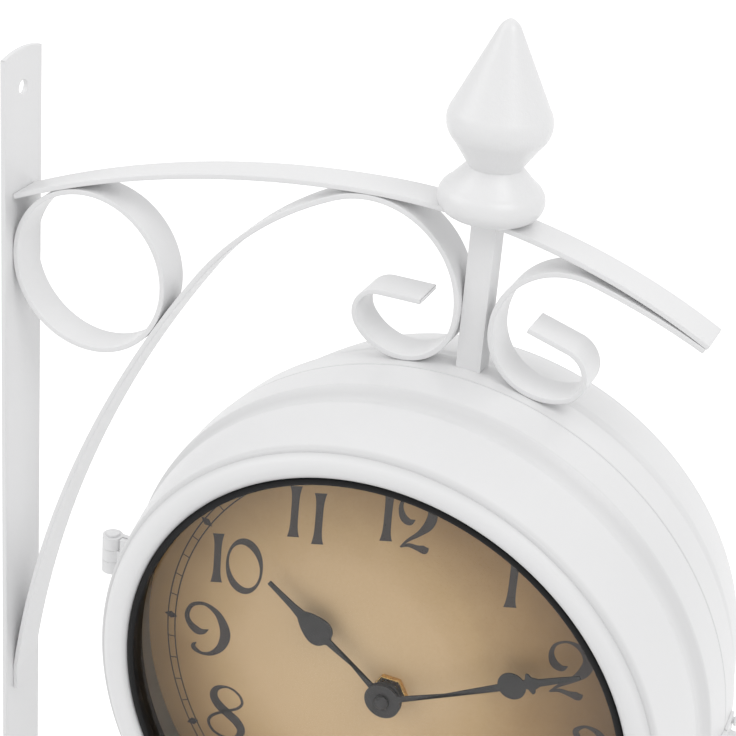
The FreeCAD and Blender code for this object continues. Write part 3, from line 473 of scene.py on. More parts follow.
def seam_line_and_valley_shade(nodes, links):
    """Darkening of the paint by distance from the seam: a dark line at the seam itself, and
    painted shade in the cove and in the valley at the bezel.
    """
    across = worked(nodes, links, "SUBTRACT", own_place(nodes, links)["Y"], CASE.y * MM)
    depth = worked(nodes, links, "ABSOLUTE", across)
    share = spread(nodes, links, depth, 0.0, 1.0, 0.0, TONE_DEPTH * MM)
    stops = [(at / TONE_DEPTH, (level, level, level)) for at, level in SEAM_LINE_AND_VALLEY_SHADE_LEVELS]
    return ramp(nodes, links, share, stops)


def powder_coat(name, colour, rough, peel, valleys=False):
    """Baked powder paint: a fine orange peel, a faint change of film thickness, and, with valleys,
    painted shade in the case's cove and bezel valley.
    """
    material, nodes, links, shader = fresh(name)
    drift = texture(nodes, links, "ShaderNodeTexNoise", 14.0, Detail=3.0, Roughness=0.55)
    stops = [(0.3, tint(colour, 0.982)), (0.7, tint(colour, 1.012))]
    film = ramp(nodes, links, drift.outputs["Fac"], stops)
    if valleys:
        # painted shade of the case's cove and bezel valley, multiplied into the colour
        film = multiplied(nodes, links, 1.0, film, seam_line_and_valley_shade(nodes, links))
    links.new(film, shader.inputs["Base Color"])
    wave = texture(nodes, links, "ShaderNodeTexNoise", 620.0, Detail=2.0, Roughness=0.5)
    grain = texture(nodes, links, "ShaderNodeTexNoise", 2600.0, Detail=1.0, Roughness=0.5)
    gloss = spread(nodes, links, wave.outputs["Fac"], rough - 0.05, rough + 0.06)
    links.new(gloss, shader.inputs["Roughness"])
    heights = [(wave.outputs["Fac"], peel), (grain.outputs["Fac"], 0.35 * peel)]
    bump(nodes, links, shader, heights, 0.00025)
    shader.inputs["Coat Weight"].default_value = 0.18
    shader.inputs["Coat Roughness"].default_value = 0.22
    return material


def metal(name, colour, rough, streak=(900.0, 900.0, 900.0)):
    """Plated or brushed metal with fine streaks along the short side of the stretch."""
    material, nodes, links, shader = fresh(name)
    where = nodes.new("ShaderNodeTexCoord")
    scale = nodes.new("ShaderNodeMapping")
    scale.inputs["Scale"].default_value = streak
    links.new(where.outputs["Object"], scale.inputs["Vector"])
    noise = nodes.new("ShaderNodeTexNoise")
    noise.inputs["Scale"].default_value = 1.0
    noise.inputs["Detail"].default_value = 4.0
    links.new(scale.outputs["Vector"], noise.inputs["Vector"])
    stops = [(0.3, tint(colour, 0.82)), (0.7, tint(colour, 1.08))]
    links.new(ramp(nodes, links, noise.outputs["Fac"], stops), shader.inputs["Base Color"])
    shader.inputs["Metallic"].default_value = 1.0
    gloss = spread(nodes, links, noise.outputs["Fac"], rough - 0.07, rough + 0.09)
    links.new(gloss, shader.inputs["Roughness"])
    bump(nodes, links, shader, [(noise.outputs["Fac"], 0.12)], 0.0001)
    return material


def moulded(name, colour, rough, scale=1500.0, relief=0.25, specular=0.5):
    """Moulded plastic or rubber with a fine spark-eroded grain."""
    material, nodes, links, shader = fresh(name)
    cloud = texture(nodes, links, "ShaderNodeTexNoise", 60.0, Detail=4.0, Roughness=0.6)
    stops = [(0.3, tint(colour, 0.85)), (0.7, tint(colour, 1.15))]
    links.new(ramp(nodes, links, cloud.outputs["Fac"], stops), shader.inputs["Base Color"])
    grain = texture(nodes, links, "ShaderNodeTexVoronoi", scale)
    gloss = spread(nodes, links, cloud.outputs["Fac"], rough - 0.06, rough + 0.08)
    links.new(gloss, shader.inputs["Roughness"])
    bump(nodes, links, shader, [(grain.outputs["Distance"], relief)], 0.0001)
    shader.inputs["Specular IOR Level"].default_value = specular
    return material


def from_axis(nodes, links, across=0.0, height=0.0):
    """Distance in metres from the case's axis, or from a line beside it."""
    place = own_place(nodes, links)
    squares = []
    for axis, centre in (("X", CASE.x + across), ("Z", CASE.z + height)):
        moved = worked(nodes, links, "SUBTRACT", place[axis], centre * MM)
        squares.append(worked(nodes, links, "MULTIPLY", moved, moved))
    return worked(nodes, links, "SQRT", worked(nodes, links, "ADD", *squares))


def dial_paper(name):
    """Printed card with clouds and fibres; its colour holds painted light and shade: brightest in
    a painted pool of light left of its middle, browner outwards with painted shade.
    """
    material, nodes, links, shader = fresh(name)
    distance = from_axis(nodes, links, *DIAL_PAINTED_LIGHT_CENTRE)
    radius = spread(nodes, links, distance, 0.0, 1.0, 0.0, DIAL_PAINTED_SHADE_REACH * MM)
    cloud = texture(nodes, links, "ShaderNodeTexNoise", 24.0, Detail=5.0, Roughness=0.6)
    shift = spread(nodes, links, cloud.outputs["Fac"], -0.05, 0.05)
    # parchment colour from the painted pool of light out to the painted shade at the rim
    stops = [
        (0.0, (0.64, 0.455, 0.262)),
        (0.36, (0.63, 0.435, 0.242)),
        (0.5, (0.545, 0.36, 0.178)),
        (0.7, (0.36, 0.213, 0.085)),
        (0.88, (0.225, 0.122, 0.042)),
        (1.0, (0.17, 0.088, 0.03)),
    ]
    card_with_painted_light = ramp(nodes, links, worked(nodes, links, "ADD", radius, shift), stops)
    fibre = texture(nodes, links, "ShaderNodeTexNoise", 900.0, Detail=3.0, Roughness=0.7)
    flecks = spread(nodes, links, fibre.outputs["Fac"], 0.0, 0.16)
    flecked = multiplied(nodes, links, flecks, card_with_painted_light, (0.72, 0.62, 0.5, 1.0))
    links.new(flecked, shader.inputs["Base Color"])
    links.new(spread(nodes, links, fibre.outputs["Fac"], 0.5, 0.62), shader.inputs["Roughness"])
    bump(nodes, links, shader, [(fibre.outputs["Fac"], 0.03)], 0.0001)
    return material


def ink(name, colour):
    """Printing ink that lets a little of the card's fibre through."""
    material, nodes, links, shader = fresh(name)
    fibre = texture(nodes, links, "ShaderNodeTexNoise", 800.0, Detail=3.0, Roughness=0.7)
    stops = [(0.35, tint(colour, 0.85)), (0.75, tint(colour, 1.45))]
    links.new(ramp(nodes, links, fibre.outputs["Fac"], stops), shader.inputs["Base Color"])
    links.new(spread(nodes, links, fibre.outputs["Fac"], 0.42, 0.55), shader.inputs["Roughness"])
    return material


def pane(name):
    """Flat window glass; rays from the lamps pass straight through it."""
    material, nodes, links, shader = fresh(name)
    wave = texture(nodes, links, "ShaderNodeTexNoise", 9.0, Detail=1.0, Roughness=0.4)
    bump(nodes, links, shader, [(wave.outputs["Fac"], 0.03)], 0.0002)
    shader.inputs["Base Color"].default_value = (0.985, 0.995, 0.99, 1.0)
    shader.inputs["Roughness"].default_value = 0.0
    shader.inputs["IOR"].default_value = 1.26
    shader.inputs["Transmission Weight"].default_value = 1.0
    through = nodes.new("ShaderNodeBsdfTransparent")
    through.inputs["Color"].default_value = (0.93, 0.95, 0.94, 1.0)
    path = nodes.new("ShaderNodeLightPath")
    mix = nodes.new("ShaderNodeMixShader")
    links.new(path.outputs["Is Shadow Ray"], mix.inputs["Fac"])
    links.new(shader.outputs["BSDF"], mix.inputs[1])
    links.new(through.outputs["BSDF"], mix.inputs[2])
    links.new(mix.outputs["Shader"], nodes["Material Output"].inputs["Surface"])
    return material


PAINT = (0.81, 0.81, 0.815)
# darkening of the paint by distance from the seam: a dark line at the seam itself, painted shade
# in the cove and in the valley at the bezel
TONE_DEPTH = 60.0
SEAM_LINE_AND_VALLEY_SHADE_LEVELS = [
    (0.0, 0.76), (0.45, 0.97), (1.0, 1.0),
    (14.8, 1.0), (16.4, 0.885), (18.6, 0.875), (21.5, 0.94), (25.5, 1.0),
    (48.4, 1.0), (50.6, 0.85), (51.5, 0.87), (53.2, 1.0)]
# centre of the painted pool of light on the dial, and the distance at which its painted shade is
# darkest
DIAL_PAINTED_LIGHT_CENTRE = (-18.0, 6.0)
DIAL_PAINTED_SHADE_REACH = 105.0
bracket_paint = powder_coat("bracket_powder_coat", PAINT, 0.42, 0.22)
# the case's paint carries painted shade in its cove and in the valley at the bezel
case_paint = powder_coat("case_powder_coat", PAINT, 0.44, 0.16, valleys=True)
cast_paint = powder_coat("cast_powder_coat", PAINT, 0.36, 0.3)
fitting_paint = powder_coat("fitting_powder_coat", PAINT, 0.44, 0.2)
rubber = moulded("black_rubber", (0.0055, 0.0055, 0.006), 0.55, 1900.0, 0.2, 0.22)
sleeve_metal = metal("sleeve_satin_metal", (0.33, 0.35, 0.38), 0.36, (60.0, 2600.0, 60.0))
hand_paint = moulded("hand_dark_enamel", (0.014, 0.011, 0.012), 0.42, 1100.0, 0.0006, 0.4)
brass = metal("turned_brass", (0.83, 0.56, 0.2), 0.24, (500.0, 3000.0, 500.0))
steel = metal("zinc_plated_steel", (0.56, 0.57, 0.58), 0.34, (1400.0, 1400.0, 300.0))
nickel = metal("nickel_strip", (0.62, 0.6, 0.56), 0.28, (1800.0, 1800.0, 400.0))
black_plastic = moulded("black_moulded_plastic", (0.02, 0.02, 0.021), 0.48, 1600.0, 0.3)
wheel_plastic = moulded("red_knob_plastic", (0.42, 0.05, 0.035), 0.42, 2200.0, 0.15)
battery_wrap = moulded("battery_wrapper", (0.05, 0.075, 0.1), 0.3, 300.0, 0.03)
card = dial_paper("dial_card")
print_ink = ink("dial_ink", (0.026, 0.015, 0.013))
window = pane("window_glass")

# ---- bracket ----
half_width, top = STRIP_WIDTH / 2, STRIP_LENGTH / 2
crown = [(half_width, top - STRIP_CROWN)]
crown += arc(crown[0], (0.0, top), (-half_width, top - STRIP_CROWN), 24)
strip_outline = crown + [(-a, -b) for a, b in crown]
strip_holes = [circle(HOLE_RADIUS, 48, (0.0, side * HOLE_HEIGHT))[::-1] for side in (-1, 1)]
to_wall = Matrix(((0, 0, 1, STRIP_THICK / 2 * MM), (1, 0, 0, 0), (0, 1, 0, 0), (0, 0, 0, 1)))
strip_mesh = plate([strip_outline] + strip_holes, STRIP_THICK / 2, STRIP_EDGE, to_wall)
dressed("strip", strip_mesh, bracket_paint, REAR, ["wall_strip"])

for bar_name, bar_path, bar_wall, bar_node in (
    ("arm_bar", ARM, STRIP_THICK, "top_arm"),
    ("large_scroll_bar", LARGE_SCROLL, None, "large_scroll"),
    ("small_scroll_bar", SMALL_SCROLL, None, "small_scroll"),
):
    bar_verts, bar_faces = flat_bar(bar_path, wall=bar_wall)
    piece(bar_name, bar_verts, bar_faces, bracket_paint, REAR, [bar_node])


def hoop_place(across, height, along):
    return (HOOP_CENTRE[0] + across, along, HOOP_CENTRE[1] + height)


inside = HOOP_RADIUS - BAR_THICK
hoop_profile = soften([
    (HOOP_RADIUS, -BAR_WIDTH / 2, BAR_EDGE), (HOOP_RADIUS, BAR_WIDTH / 2, BAR_EDGE),
    (inside, BAR_WIDTH / 2, BAR_EDGE), (inside, -BAR_WIDTH / 2, BAR_EDGE)])
hoop_verts, hoop_faces = lathe(hoop_profile, hoop_place, 192)
piece("hoop_ring", hoop_verts, hoop_faces, bracket_paint, REAR, ["hoop"])

finial_profile = [(0.0, 0.0), (14.5, 0.0), FINIAL_FOOT]
finial_profile += arc(FINIAL_FOOT, FINIAL_BASE, FINIAL_BASE_TOP, 16)
finial_profile += [(12.3, 13.7), (9.55, 16.73), FINIAL_NECK, (9.45, 17.23), (12.0, 21.2)]
finial_profile.append(FINIAL_SWELL)
finial_profile += arc(FINIAL_SWELL, FINIAL_BULB, FINIAL_TAPER, 16)
finial_profile += [(12.2, 46.27), (8.1, 54.93), FINIAL_POINT]
finial_profile += arc(FINIAL_POINT, FINIAL_TIP_SIDE, FINIAL_TIP, 10)
finial_profile.append((0.0, FINIAL_HEIGHT))


def finial_place(across, along, height):
    return (POST_X + across, along, FINIAL_SEAT + height)


finial_verts, finial_faces = lathe(finial_profile, finial_place, 128)
piece("finial_spear", finial_verts, finial_faces, cast_paint, REAR, ["finial"])


# ---- case halves ----
def skin(inset, steps=14):
    """Outline of a half shell from its seam to its mouth: rim, cove and bowed flank."""
    rim = CASE_RADIUS - RIM_TAPER
    low = rim - COVE_STEP
    dip = (low + COVE_DIP - inset, COVE_START + COVE_DIP_SHARE * (COVE_END - COVE_START))
    bow = ((low + MOUTH_RADIUS) / 2 + FLANK_BOW - inset, (COVE_END + HALF_DEPTH) / 2)
    points = [(CASE_RADIUS - inset, 0.0), (rim - inset, RIM_DEPTH)]
    points.append((rim - COVE_LEAD - inset, COVE_START))
    points += arc(points[-1], dip, (low - inset, COVE_END), steps)
    points += arc(points[-1], bow, (MOUTH_RADIUS - inset, HALF_DEPTH - inset), steps)
    return points


def eased(points, radii):
    """Outline corners with a rounding radius where one is named by number."""
    return [(a, b, radii.get(number, 0.0)) for number, (a, b) in enumerate(points)]


outer_skin = skin(0.0)
inner_skin = skin(SHELL_WALL)
lip = MOUTH_RADIUS - MOUTH_FLANGE
mouth = [(lip, HALF_DEPTH), (lip, HALF_DEPTH - SHELL_WALL)]
shell_outline = outer_skin + mouth + list(reversed(inner_skin))
# rounded corners: seam, rim, cove, mouth and lip
shell_corners = {0: 0.5, 1: 2.5, 2: 1.0, len(outer_skin) - 1: 1.6, len(outer_skin): 0.4}
shell_verts, shell_faces = case_lathe(soften(eased(shell_outline, shell_corners)), SHELL_STEPS)
on_both("case_shell", shell_verts, shell_faces, case_paint, ["half_shell"])

# rolled bezel bead with its skirt; corners rounded at its foot, back and skirt
skirt = MOUTH_RADIUS - MOUTH_FLANGE - CLOSE_GAP
skirt_inside, skirt_end = skirt - SKIRT_WALL, HALF_DEPTH - SKIRT_LENGTH
bead_back = HALF_DEPTH - BEAD_METAL
crest = ((BEAD_OUTER + SIGHT_RADIUS) / 2 + BEAD_LEAN, HALF_DEPTH + BEAD_CREST)
bead = [(BEAD_OUTER, HALF_DEPTH), (BEAD_OUTER, HALF_DEPTH + BEAD_SHOULDER)]
bead += arc(bead[-1], crest, (SIGHT_RADIUS, HALF_DEPTH - CLOSE_GAP), 24)
bead += [(SIGHT_RADIUS, bead_back), (skirt_inside, bead_back),
         (skirt_inside, skirt_end), (skirt, skirt_end), (skirt, HALF_DEPTH)]
bead_corners = {0: 0.05, 1: 0.1, 25: FINE_ROUND, 26: FINE_ROUND, 28: FINE_ROUND, 29: FINE_ROUND}
bezel_verts, bezel_faces = case_lathe(soften(eased(bead, bead_corners)))
on_both("bezel", bezel_verts, bezel_faces, case_paint, ["bezel_ring"])

# rubber channel round the edge of the glass
rubber_outer = skirt_inside - CLOSE_GAP
rubber_seat = bead_back - HAIR_GAP
rubber_bore = SIGHT_RADIUS - CLOSE_GAP
groove = GLASS_RADIUS + CLOSE_GAP
glass_back = GLASS_FRONT - GLASS_THICK
rubber_path = [(rubber_outer, GASKET_BACK), (rubber_outer, rubber_seat),
               (rubber_bore, rubber_seat), (rubber_bore, HALF_DEPTH - CLOSE_GAP)]
rubber_path += arc(rubber_path[-1], (GASKET_LIP + GASKET_CREST_OUT, HALF_DEPTH + GASKET_CREST),
                   (GASKET_LIP, HALF_DEPTH), 10)
rubber_path += [(GASKET_LIP, GLASS_FRONT + HAIR_GAP), (groove, GLASS_FRONT + HAIR_GAP),
                (groove, glass_back - HAIR_GAP),
                (GASKET_LIP + GASKET_BACK_STEP, glass_back - HAIR_GAP),
                (SIGHT_RADIUS, GASKET_BACK)]
rubber_corners = {number: FINE_ROUND for number in (0, 1, 13, 14, 17, 18)}
gasket_verts, gasket_faces = case_lathe(soften(eased(rubber_path, rubber_corners), 3))
on_both("rubber_gasket", gasket_verts, gasket_faces, rubber, ["gasket"])

glass_profile = soften([(0.0, glass_back, 0.0), (GLASS_RADIUS, glass_back, GLASS_ROUND),
                        (GLASS_RADIUS, GLASS_FRONT, GLASS_ROUND), (0.0, GLASS_FRONT, 0.0)], 2)
glass_verts, glass_faces = case_lathe(glass_profile)
on_both("window", glass_verts, glass_faces, window, ["glass"])

# flared sleeve between the gasket and the dial
throat = SIGHT_RADIUS + SLEEVE_GAP
sleeve_profile = soften([
    (throat, GASKET_BACK, SLEEVE_ROUND), (throat + SLEEVE_WALL, GASKET_BACK, SLEEVE_ROUND),
    (SLEEVE_BASE + SLEEVE_WALL, DIAL_FRONT, SLEEVE_ROUND),
    (SLEEVE_BASE, DIAL_FRONT, SLEEVE_ROUND)], 2)
sleeve_verts, sleeve_faces = case_lathe(sleeve_profile)
on_both("sleeve", sleeve_verts, sleeve_faces, sleeve_metal, ["spacer_sleeve"])


# ---- dial print ----
def flowing(points, steps=7):
    """Smooth curve through (x, y, half width) points."""
    full = [points[0]] + list(points) + [points[-1]]
    out = []
    for number in range(1, len(full) - 2):
        p0, p1, p2, p3 = full[number - 1:number + 3]
        for step in range(steps):
            t = step / steps
            out.append(tuple(0.5 * (2 * b + (c - a) * t + (2 * a - 5 * b + 4 * c - d) * t * t
                                    + (3 * b - a - 3 * c + d) * t ** 3)
                             for a, b, c, d in zip(p0, p1, p2, p3)))
    out.append(full[-2])
    return out


def ribbon(points, closed=False):
    """Left and right edges of a stroke."""
    rows = []
    count = len(points)
    for number, (x, y, half) in enumerate(points):
        before = points[(number - 1) % count] if closed else points[max(number - 1, 0)]
        after = points[(number + 1) % count] if closed else points[min(number + 1, count - 1)]
        dx, dy = after[0] - before[0], after[1] - before[1]
        length = math.hypot(dx, dy) or 1.0
        nx, ny = -dy / length, dx / length
        rows.append(((x + nx * half, y + ny * half), (x - nx * half, y - ny * half)))
    return rows


STEM_HALF, STEM_FLARE, STEM_SLANT, STEM_STEPS = 1.42, 0.95, 0.26, 16
OVAL_ACROSS, OVAL_HEIGHT, OVAL_TILT = 6.8, 10.3, math.radians(70)
OVAL_THIN, OVAL_WEIGHT, OVAL_STEPS = 0.5, 1.15, 64


def stem(x, low=-10.4, high=10.4):
    """Upright stroke that flares to slanted ends."""
    rows = []
    for number in range(STEM_STEPS + 1):
        share = 2 * number / STEM_STEPS - 1
        y = (low + high) / 2 + share * (high - low) / 2
        half = STEM_HALF + STEM_FLARE * abs(share) ** 4
        slant = STEM_SLANT * share ** 4
        rows.append(((x - half, y - slant * half), (x + half, y + slant * half)))
    return rows


def oval():
    """Closed nought with its weight on a tilted axis."""
    points = []
    for number in range(OVAL_STEPS):
        angle = math.tau * number / OVAL_STEPS
        weight = (0.5 + 0.5 * math.cos(2 * (angle - OVAL_TILT))) ** 1.3
        half = OVAL_THIN + OVAL_WEIGHT * weight
        points.append((OVAL_ACROSS * math.cos(angle), OVAL_HEIGHT * math.sin(angle), half))
    rows = ribbon(points, closed=True)
    return rows + rows[:1]


def stroke(*points):
    return ribbon(flowing(points))


TWO = [
    stroke((-0.8, 1.3, 0.15), (-3.0, -0.1, 1.35), (-5.7, 1.0, 1.6), (-7.1, 4.8, 0.95),
           (-5.8, 8.8, 0.55), (-1.5, 11.0, 0.5), (3.4, 9.6, 1.3), (6.1, 5.6, 2.0),
           (5.0, 0.9, 1.95), (1.4, -3.6, 1.05), (-3.0, -7.5, 0.6), (-5.9, -11.0, 0.3)),
    stroke((-5.8, -11.0, 0.2), (-2.6, -9.3, 0.75), (1.2, -9.4, 1.1), (4.2, -9.3, 1.65),
           (5.9, -8.2, 0.15))]
NINE = [stroke((0.8, 0.3, 0.15), (-1.6, -1.4, 1.15), (-4.3, -1.4, 1.75), (-7.2, 0.8, 1.3),
               (-8.3, 4.4, 0.95), (-6.2, 9.0, 0.8), (-1.2, 10.9, 0.75), (4.0, 8.6, 1.35),
               (7.0, 3.8, 2.0), (7.7, -0.7, 2.1), (6.1, -5.8, 1.6), (2.5, -9.7, 0.95),
               (-1.5, -11.0, 0.65), (-4.6, -9.9, 1.1), (-5.1, -8.4, 0.8), (-3.9, -6.9, 0.1))]


def turned_over(rows):
    return [((-a[0], -a[1]), (-b[0], -b[1])) for a, b in rows]


GLYPHS = {
    "0": [oval()],
    "1": [stem(0.0)],
    "2": TWO,
    "3": [
        stroke((-2.6, 5.2, 0.15), (-4.4, 6.0, 1.2), (-5.3, 8.2, 1.0), (-2.2, 10.9, 0.55),
               (2.4, 10.0, 1.2), (4.6, 6.9, 1.8), (3.2, 3.3, 1.2), (-0.8, 1.4, 0.4)),
        stroke((-0.8, 1.5, 0.35), (3.6, 0.2, 1.1), (6.1, -4.2, 2.05), (4.0, -9.3, 1.25),
               (-1.0, -11.0, 0.6), (-5.0, -9.5, 0.95), (-6.0, -7.0, 1.3), (-4.2, -5.2, 0.15))],
    "4": [
        stroke((2.5, 10.9, 0.3), (-1.5, 5.6, 0.5), (-5.0, 0.4, 0.6), (-7.6, -4.4, 0.45)),
        stroke((-7.7, -4.9, 0.2), (-4.2, -4.5, 0.9), (0.5, -4.9, 0.85), (4.4, -4.5, 0.95),
               (7.6, -3.3, 0.15)),
        [((x0 + 2.4, y0), (x1 + 2.4, y1)) for (x0, y0), (x1, y1) in stem(0.0, -10.9, 10.6)]],
    "5": [
        stroke((-3.9, 10.2, 0.15), (-1.5, 9.6, 0.95), (2.2, 9.9, 1.25), (6.0, 11.4, 0.15)),
        stroke((-3.4, 10.3, 0.4), (-3.9, 5.8, 0.55), (-4.5, 1.1, 0.5)),
        stroke((-4.6, 1.2, 0.3), (-0.2, 3.3, 0.75), (4.6, 1.4, 1.6), (6.2, -3.6, 2.1),
               (3.6, -9.3, 1.3), (-1.2, -11.0, 0.6), (-5.0, -9.6, 0.95), (-6.0, -7.2, 1.3),
               (-4.3, -5.3, 0.15))],
    "6": [turned_over(rows) for rows in NINE],
    "7": [
        stroke((-7.0, 6.2, 0.15), (-6.2, 8.6, 0.9), (-2.6, 9.5, 1.45), (2.0, 9.3, 1.15),
               (6.9, 11.0, 0.25)),
        stroke((6.8, 10.9, 0.3), (3.8, 5.6, 0.6), (0.6, 0.2, 1.15), (-1.2, -5.4, 1.85),
               (-1.6, -10.9, 2.15))],
    "8": [
        stroke((5.4, 9.2, 0.55), (2.6, 11.1, 0.5), (-1.0, 11.4, 0.5), (-4.6, 9.4, 1.1),
               (-5.6, 5.8, 1.7), (-3.4, 2.4, 2.0), (0.6, -0.2, 2.0), (4.6, -2.8, 2.0),
               (6.5, -6.2, 1.7), (4.6, -10.0, 0.95), (0.2, -11.5, 0.6), (-4.8, -10.4, 0.6),
               (-7.2, -6.8, 0.65), (-5.6, -3.2, 0.6), (-0.4, 0.4, 0.55), (4.4, 3.4, 0.55),
               (6.3, 6.4, 0.55), (5.4, 9.2, 0.55))],
    "9": NINE,
}

NUMBERS = [
    ("1", (39.8, 59.4)), ("2", (63.6, 31.5)), ("3", (74.3, 0.0)), ("4", (63.4, -32.5)),
    ("5", (37.6, -60.6)), ("6", (0.0, -70.7)), ("7", (-37.6, -60.6)), ("8", (-64.3, -34.0)),
    ("9", (-74.3, 0.0)), ("10", (-63.4, 32.3)), ("11", (-37.6, 61.1)), ("12", (0.2, 70.7))]
# digits of the double numbers: shift and width of each
DIGITS = {
    "10": ((-8.0, 1.0), (2.9, 1.0)),
    "11": ((-4.7, 1.0), (4.7, 1.0)),
    "12": ((-7.6, 1.0), (3.1, 0.88)),
}
PRINT_TURN = math.radians(-1.1)
TRACK_OUTER, TRACK_INNER, TRACK_LINE, TRACK_STEPS = 90.45, 87.5, 0.5, 240
MINUTE_HALF = 0.2
MARK_HALF, MARK_TIP_HALF, MARK_INSIDE, MARK_SHIFT, MARK_OUTSIDE = 1.55, 0.05, 0.9, 0.2, 1.5
INK_LIFT, INK_STEP, INK_LAYERS, INK_ROOT = 0.05, 0.004, 5, 0.03


class Print:
    """Thin layer of ink on the dial, gathered as one mesh."""

    def __init__(self):
        self.verts, self.faces, self.layer = [], [], 0

    def add(self, rows, closed=False):
        lift = DIAL_FRONT + INK_LIFT + INK_STEP * (self.layer % INK_LAYERS)
        self.layer += 1
        first = len(self.verts)
        for (ax, ay), (bx, by) in rows:
            for depth in (lift, DIAL_FRONT - INK_ROOT):
                self.verts.append(tuple(at_case(ax, depth, ay)))
                self.verts.append(tuple(at_case(bx, depth, by)))
        count = len(rows)
        strip = []
        for number in range(count if closed else count - 1):
            here, there = 4 * number, 4 * ((number + 1) % count)
            for one, two in ((0, 1), (1, 3), (3, 2), (2, 0)):
                strip.append((here + one, here + two, there + two, there + one))
        if not closed:
            last = 4 * (count - 1)
            strip.append((0, 2, 3, 1))
            strip.append((last, last + 1, last + 3, last + 2))
        points = self.verts[first:]
        self.faces += [tuple(first + v for v in face) for face in outward(points, strip)]


def turned_point(radius, angle):
    return (radius * math.sin(angle), radius * math.cos(angle))


dial_print = Print()
for text, (centre_x, centre_y) in NUMBERS:
    for place, digit in enumerate(text):
        shift, width = DIGITS[text][place] if text in DIGITS else (0.0, 1.0)
        left = centre_x + shift
        for rows in GLYPHS[digit]:
            dial_print.add([tuple((left + width * x, centre_y + y) for x, y in row)
                            for row in rows])
for radius in (TRACK_OUTER, TRACK_INNER):
    around = [math.tau * n / TRACK_STEPS for n in range(TRACK_STEPS)]
    outer, inner = radius + TRACK_LINE / 2, radius - TRACK_LINE / 2
    dial_print.add([(turned_point(outer, a), turned_point(inner, a)) for a in around], closed=True)
for minute in range(60):
    angle = math.radians(6 * minute) - PRINT_TURN
    if minute % 5:
        rows = [(MINUTE_HALF, TRACK_INNER), (MINUTE_HALF, TRACK_OUTER)]
    else:
        rows = [(MARK_TIP_HALF, TRACK_INNER - MARK_INSIDE),
                (MARK_HALF, (TRACK_INNER + TRACK_OUTER) / 2 + MARK_SHIFT),
                (MARK_TIP_HALF, TRACK_OUTER + MARK_OUTSIDE)]
    dial_print.add([(turned_point(r, angle - half / r), turned_point(r, angle + half / r))
                    for half, r in rows])
on_both("dial_print", dial_print.verts, dial_print.faces, print_ink, [], flat=True)


# ---- hands ----
def hand_outline(steps):
    """One side of a blade as (along, side), mirrored to a closed outline."""
    right = [(side, along) for along, side in steps]
    left = [(-side, along) for along, side in reversed(steps)]
    return right + left


def hand_place(degrees, lift, rear):
    """Matrix from the blade's plane (side, along) to the dial, pointing at a clock angle."""
    angle = math.radians(degrees)
    ahead = Vector((math.sin(angle), 0, math.cos(angle)))
    aside = Vector((math.cos(angle), 0, -math.sin(angle)))
    out = Vector((0, -1, 0))
    origin = at_case(0.0, DIAL_FRONT + lift + HAND_THICK / 2)
    if rear:
        flip = Matrix.Rotation(math.pi, 3, "Z")
        ahead, aside, out = flip @ ahead, flip @ aside, flip @ out
        origin = Vector((origin.x, 2 * CASE.y - origin.y, origin.z))
    rows = Matrix((aside, ahead, out)).transposed().to_4x4()
    return Matrix.Translation(origin * MM) @ rows


def boss_arc(radius, half, count=40):
    """Round boss from one side of the blade's root to the other, below the blade."""
    first = math.asin(half / radius)
    angles = [first + (math.tau - 2 * first) * n / count for n in range(count + 1)]
    return [(-radius * math.sin(a), radius * math.cos(a)) for a in angles]


# right edge of each blade from its root to its tip, as (along, side)
hour_side = [(28.0, 1.3)]
hour_side += arc((28.6, 1.3), (29.6, 4.1), (34.0, 5.8), 10)
hour_side += arc((34.0, 5.8), (38.6, 4.2), (42.0, 1.9), 8)
hour_side += [(46.0, 1.3), (52.0, 0.95), (58.0, 0.75)]
minute_side = [(47.2, 1.2)]
minute_side += arc((47.2, 1.2), (52.0, 5.0), (56.8, 1.5), 14)
minute_side += [(57.9, 1.7), (58.9, 3.9), (59.7, 3.6), (60.2, 2.3), (62.6, 1.25)]
minute_side += [(70.0, 0.95), (78.0, 0.55)]
# clock angle in degrees, lift over the dial, side, half width of the root, bore
HANDS = [
    ("hour", 305.0, HOUR_LIFT, hour_side, 1.3, HOUR_BORE),
    ("minute", 63.0, MINUTE_LIFT, minute_side, 1.2, MINUTE_BORE),
]
for hand, degrees, lift, side, root, bore in HANDS:
    blade = hand_outline(side)
    shape = blade + boss_arc(BOSS_RADIUS, root)[::-1]
    for rear in (False, True):
        turning = ("rear_" if rear else "front_") + hand
        place = hand_place(degrees, lift, rear)
        mesh = plate([shape, circle(bore, 32)], HAND_THICK / 2, HAND_EDGE, place, 2)
        dressed(turning + "_blade", mesh, hand_paint, turning, [turning + "_hand"])

# domed nut in front of the minute hand
cap_back = DIAL_FRONT + MINUTE_LIFT + HAND_THICK
cap_top = cap_back + CAP_HEIGHT
cap_profile = [(0.0, cap_back), (CAP_RADIUS, cap_back), (CAP_RADIUS, cap_top - CAP_HEIGHT / 2)]
cap_profile += arc(cap_profile[-1], (CAP_SHOULDER, cap_top - CAP_FALL), (CAP_FLAT, cap_top), 8)
cap_profile.append((0.0, cap_top))
cap_verts, cap_faces = case_lathe(cap_profile, 64)
for spot, verts in (("front", cap_verts), ("rear", rear_side(cap_verts))):
    piece(spot + "_cap", verts, cap_faces, hand_paint, spot + "_minute",
          [spot + "_cap_nut"])

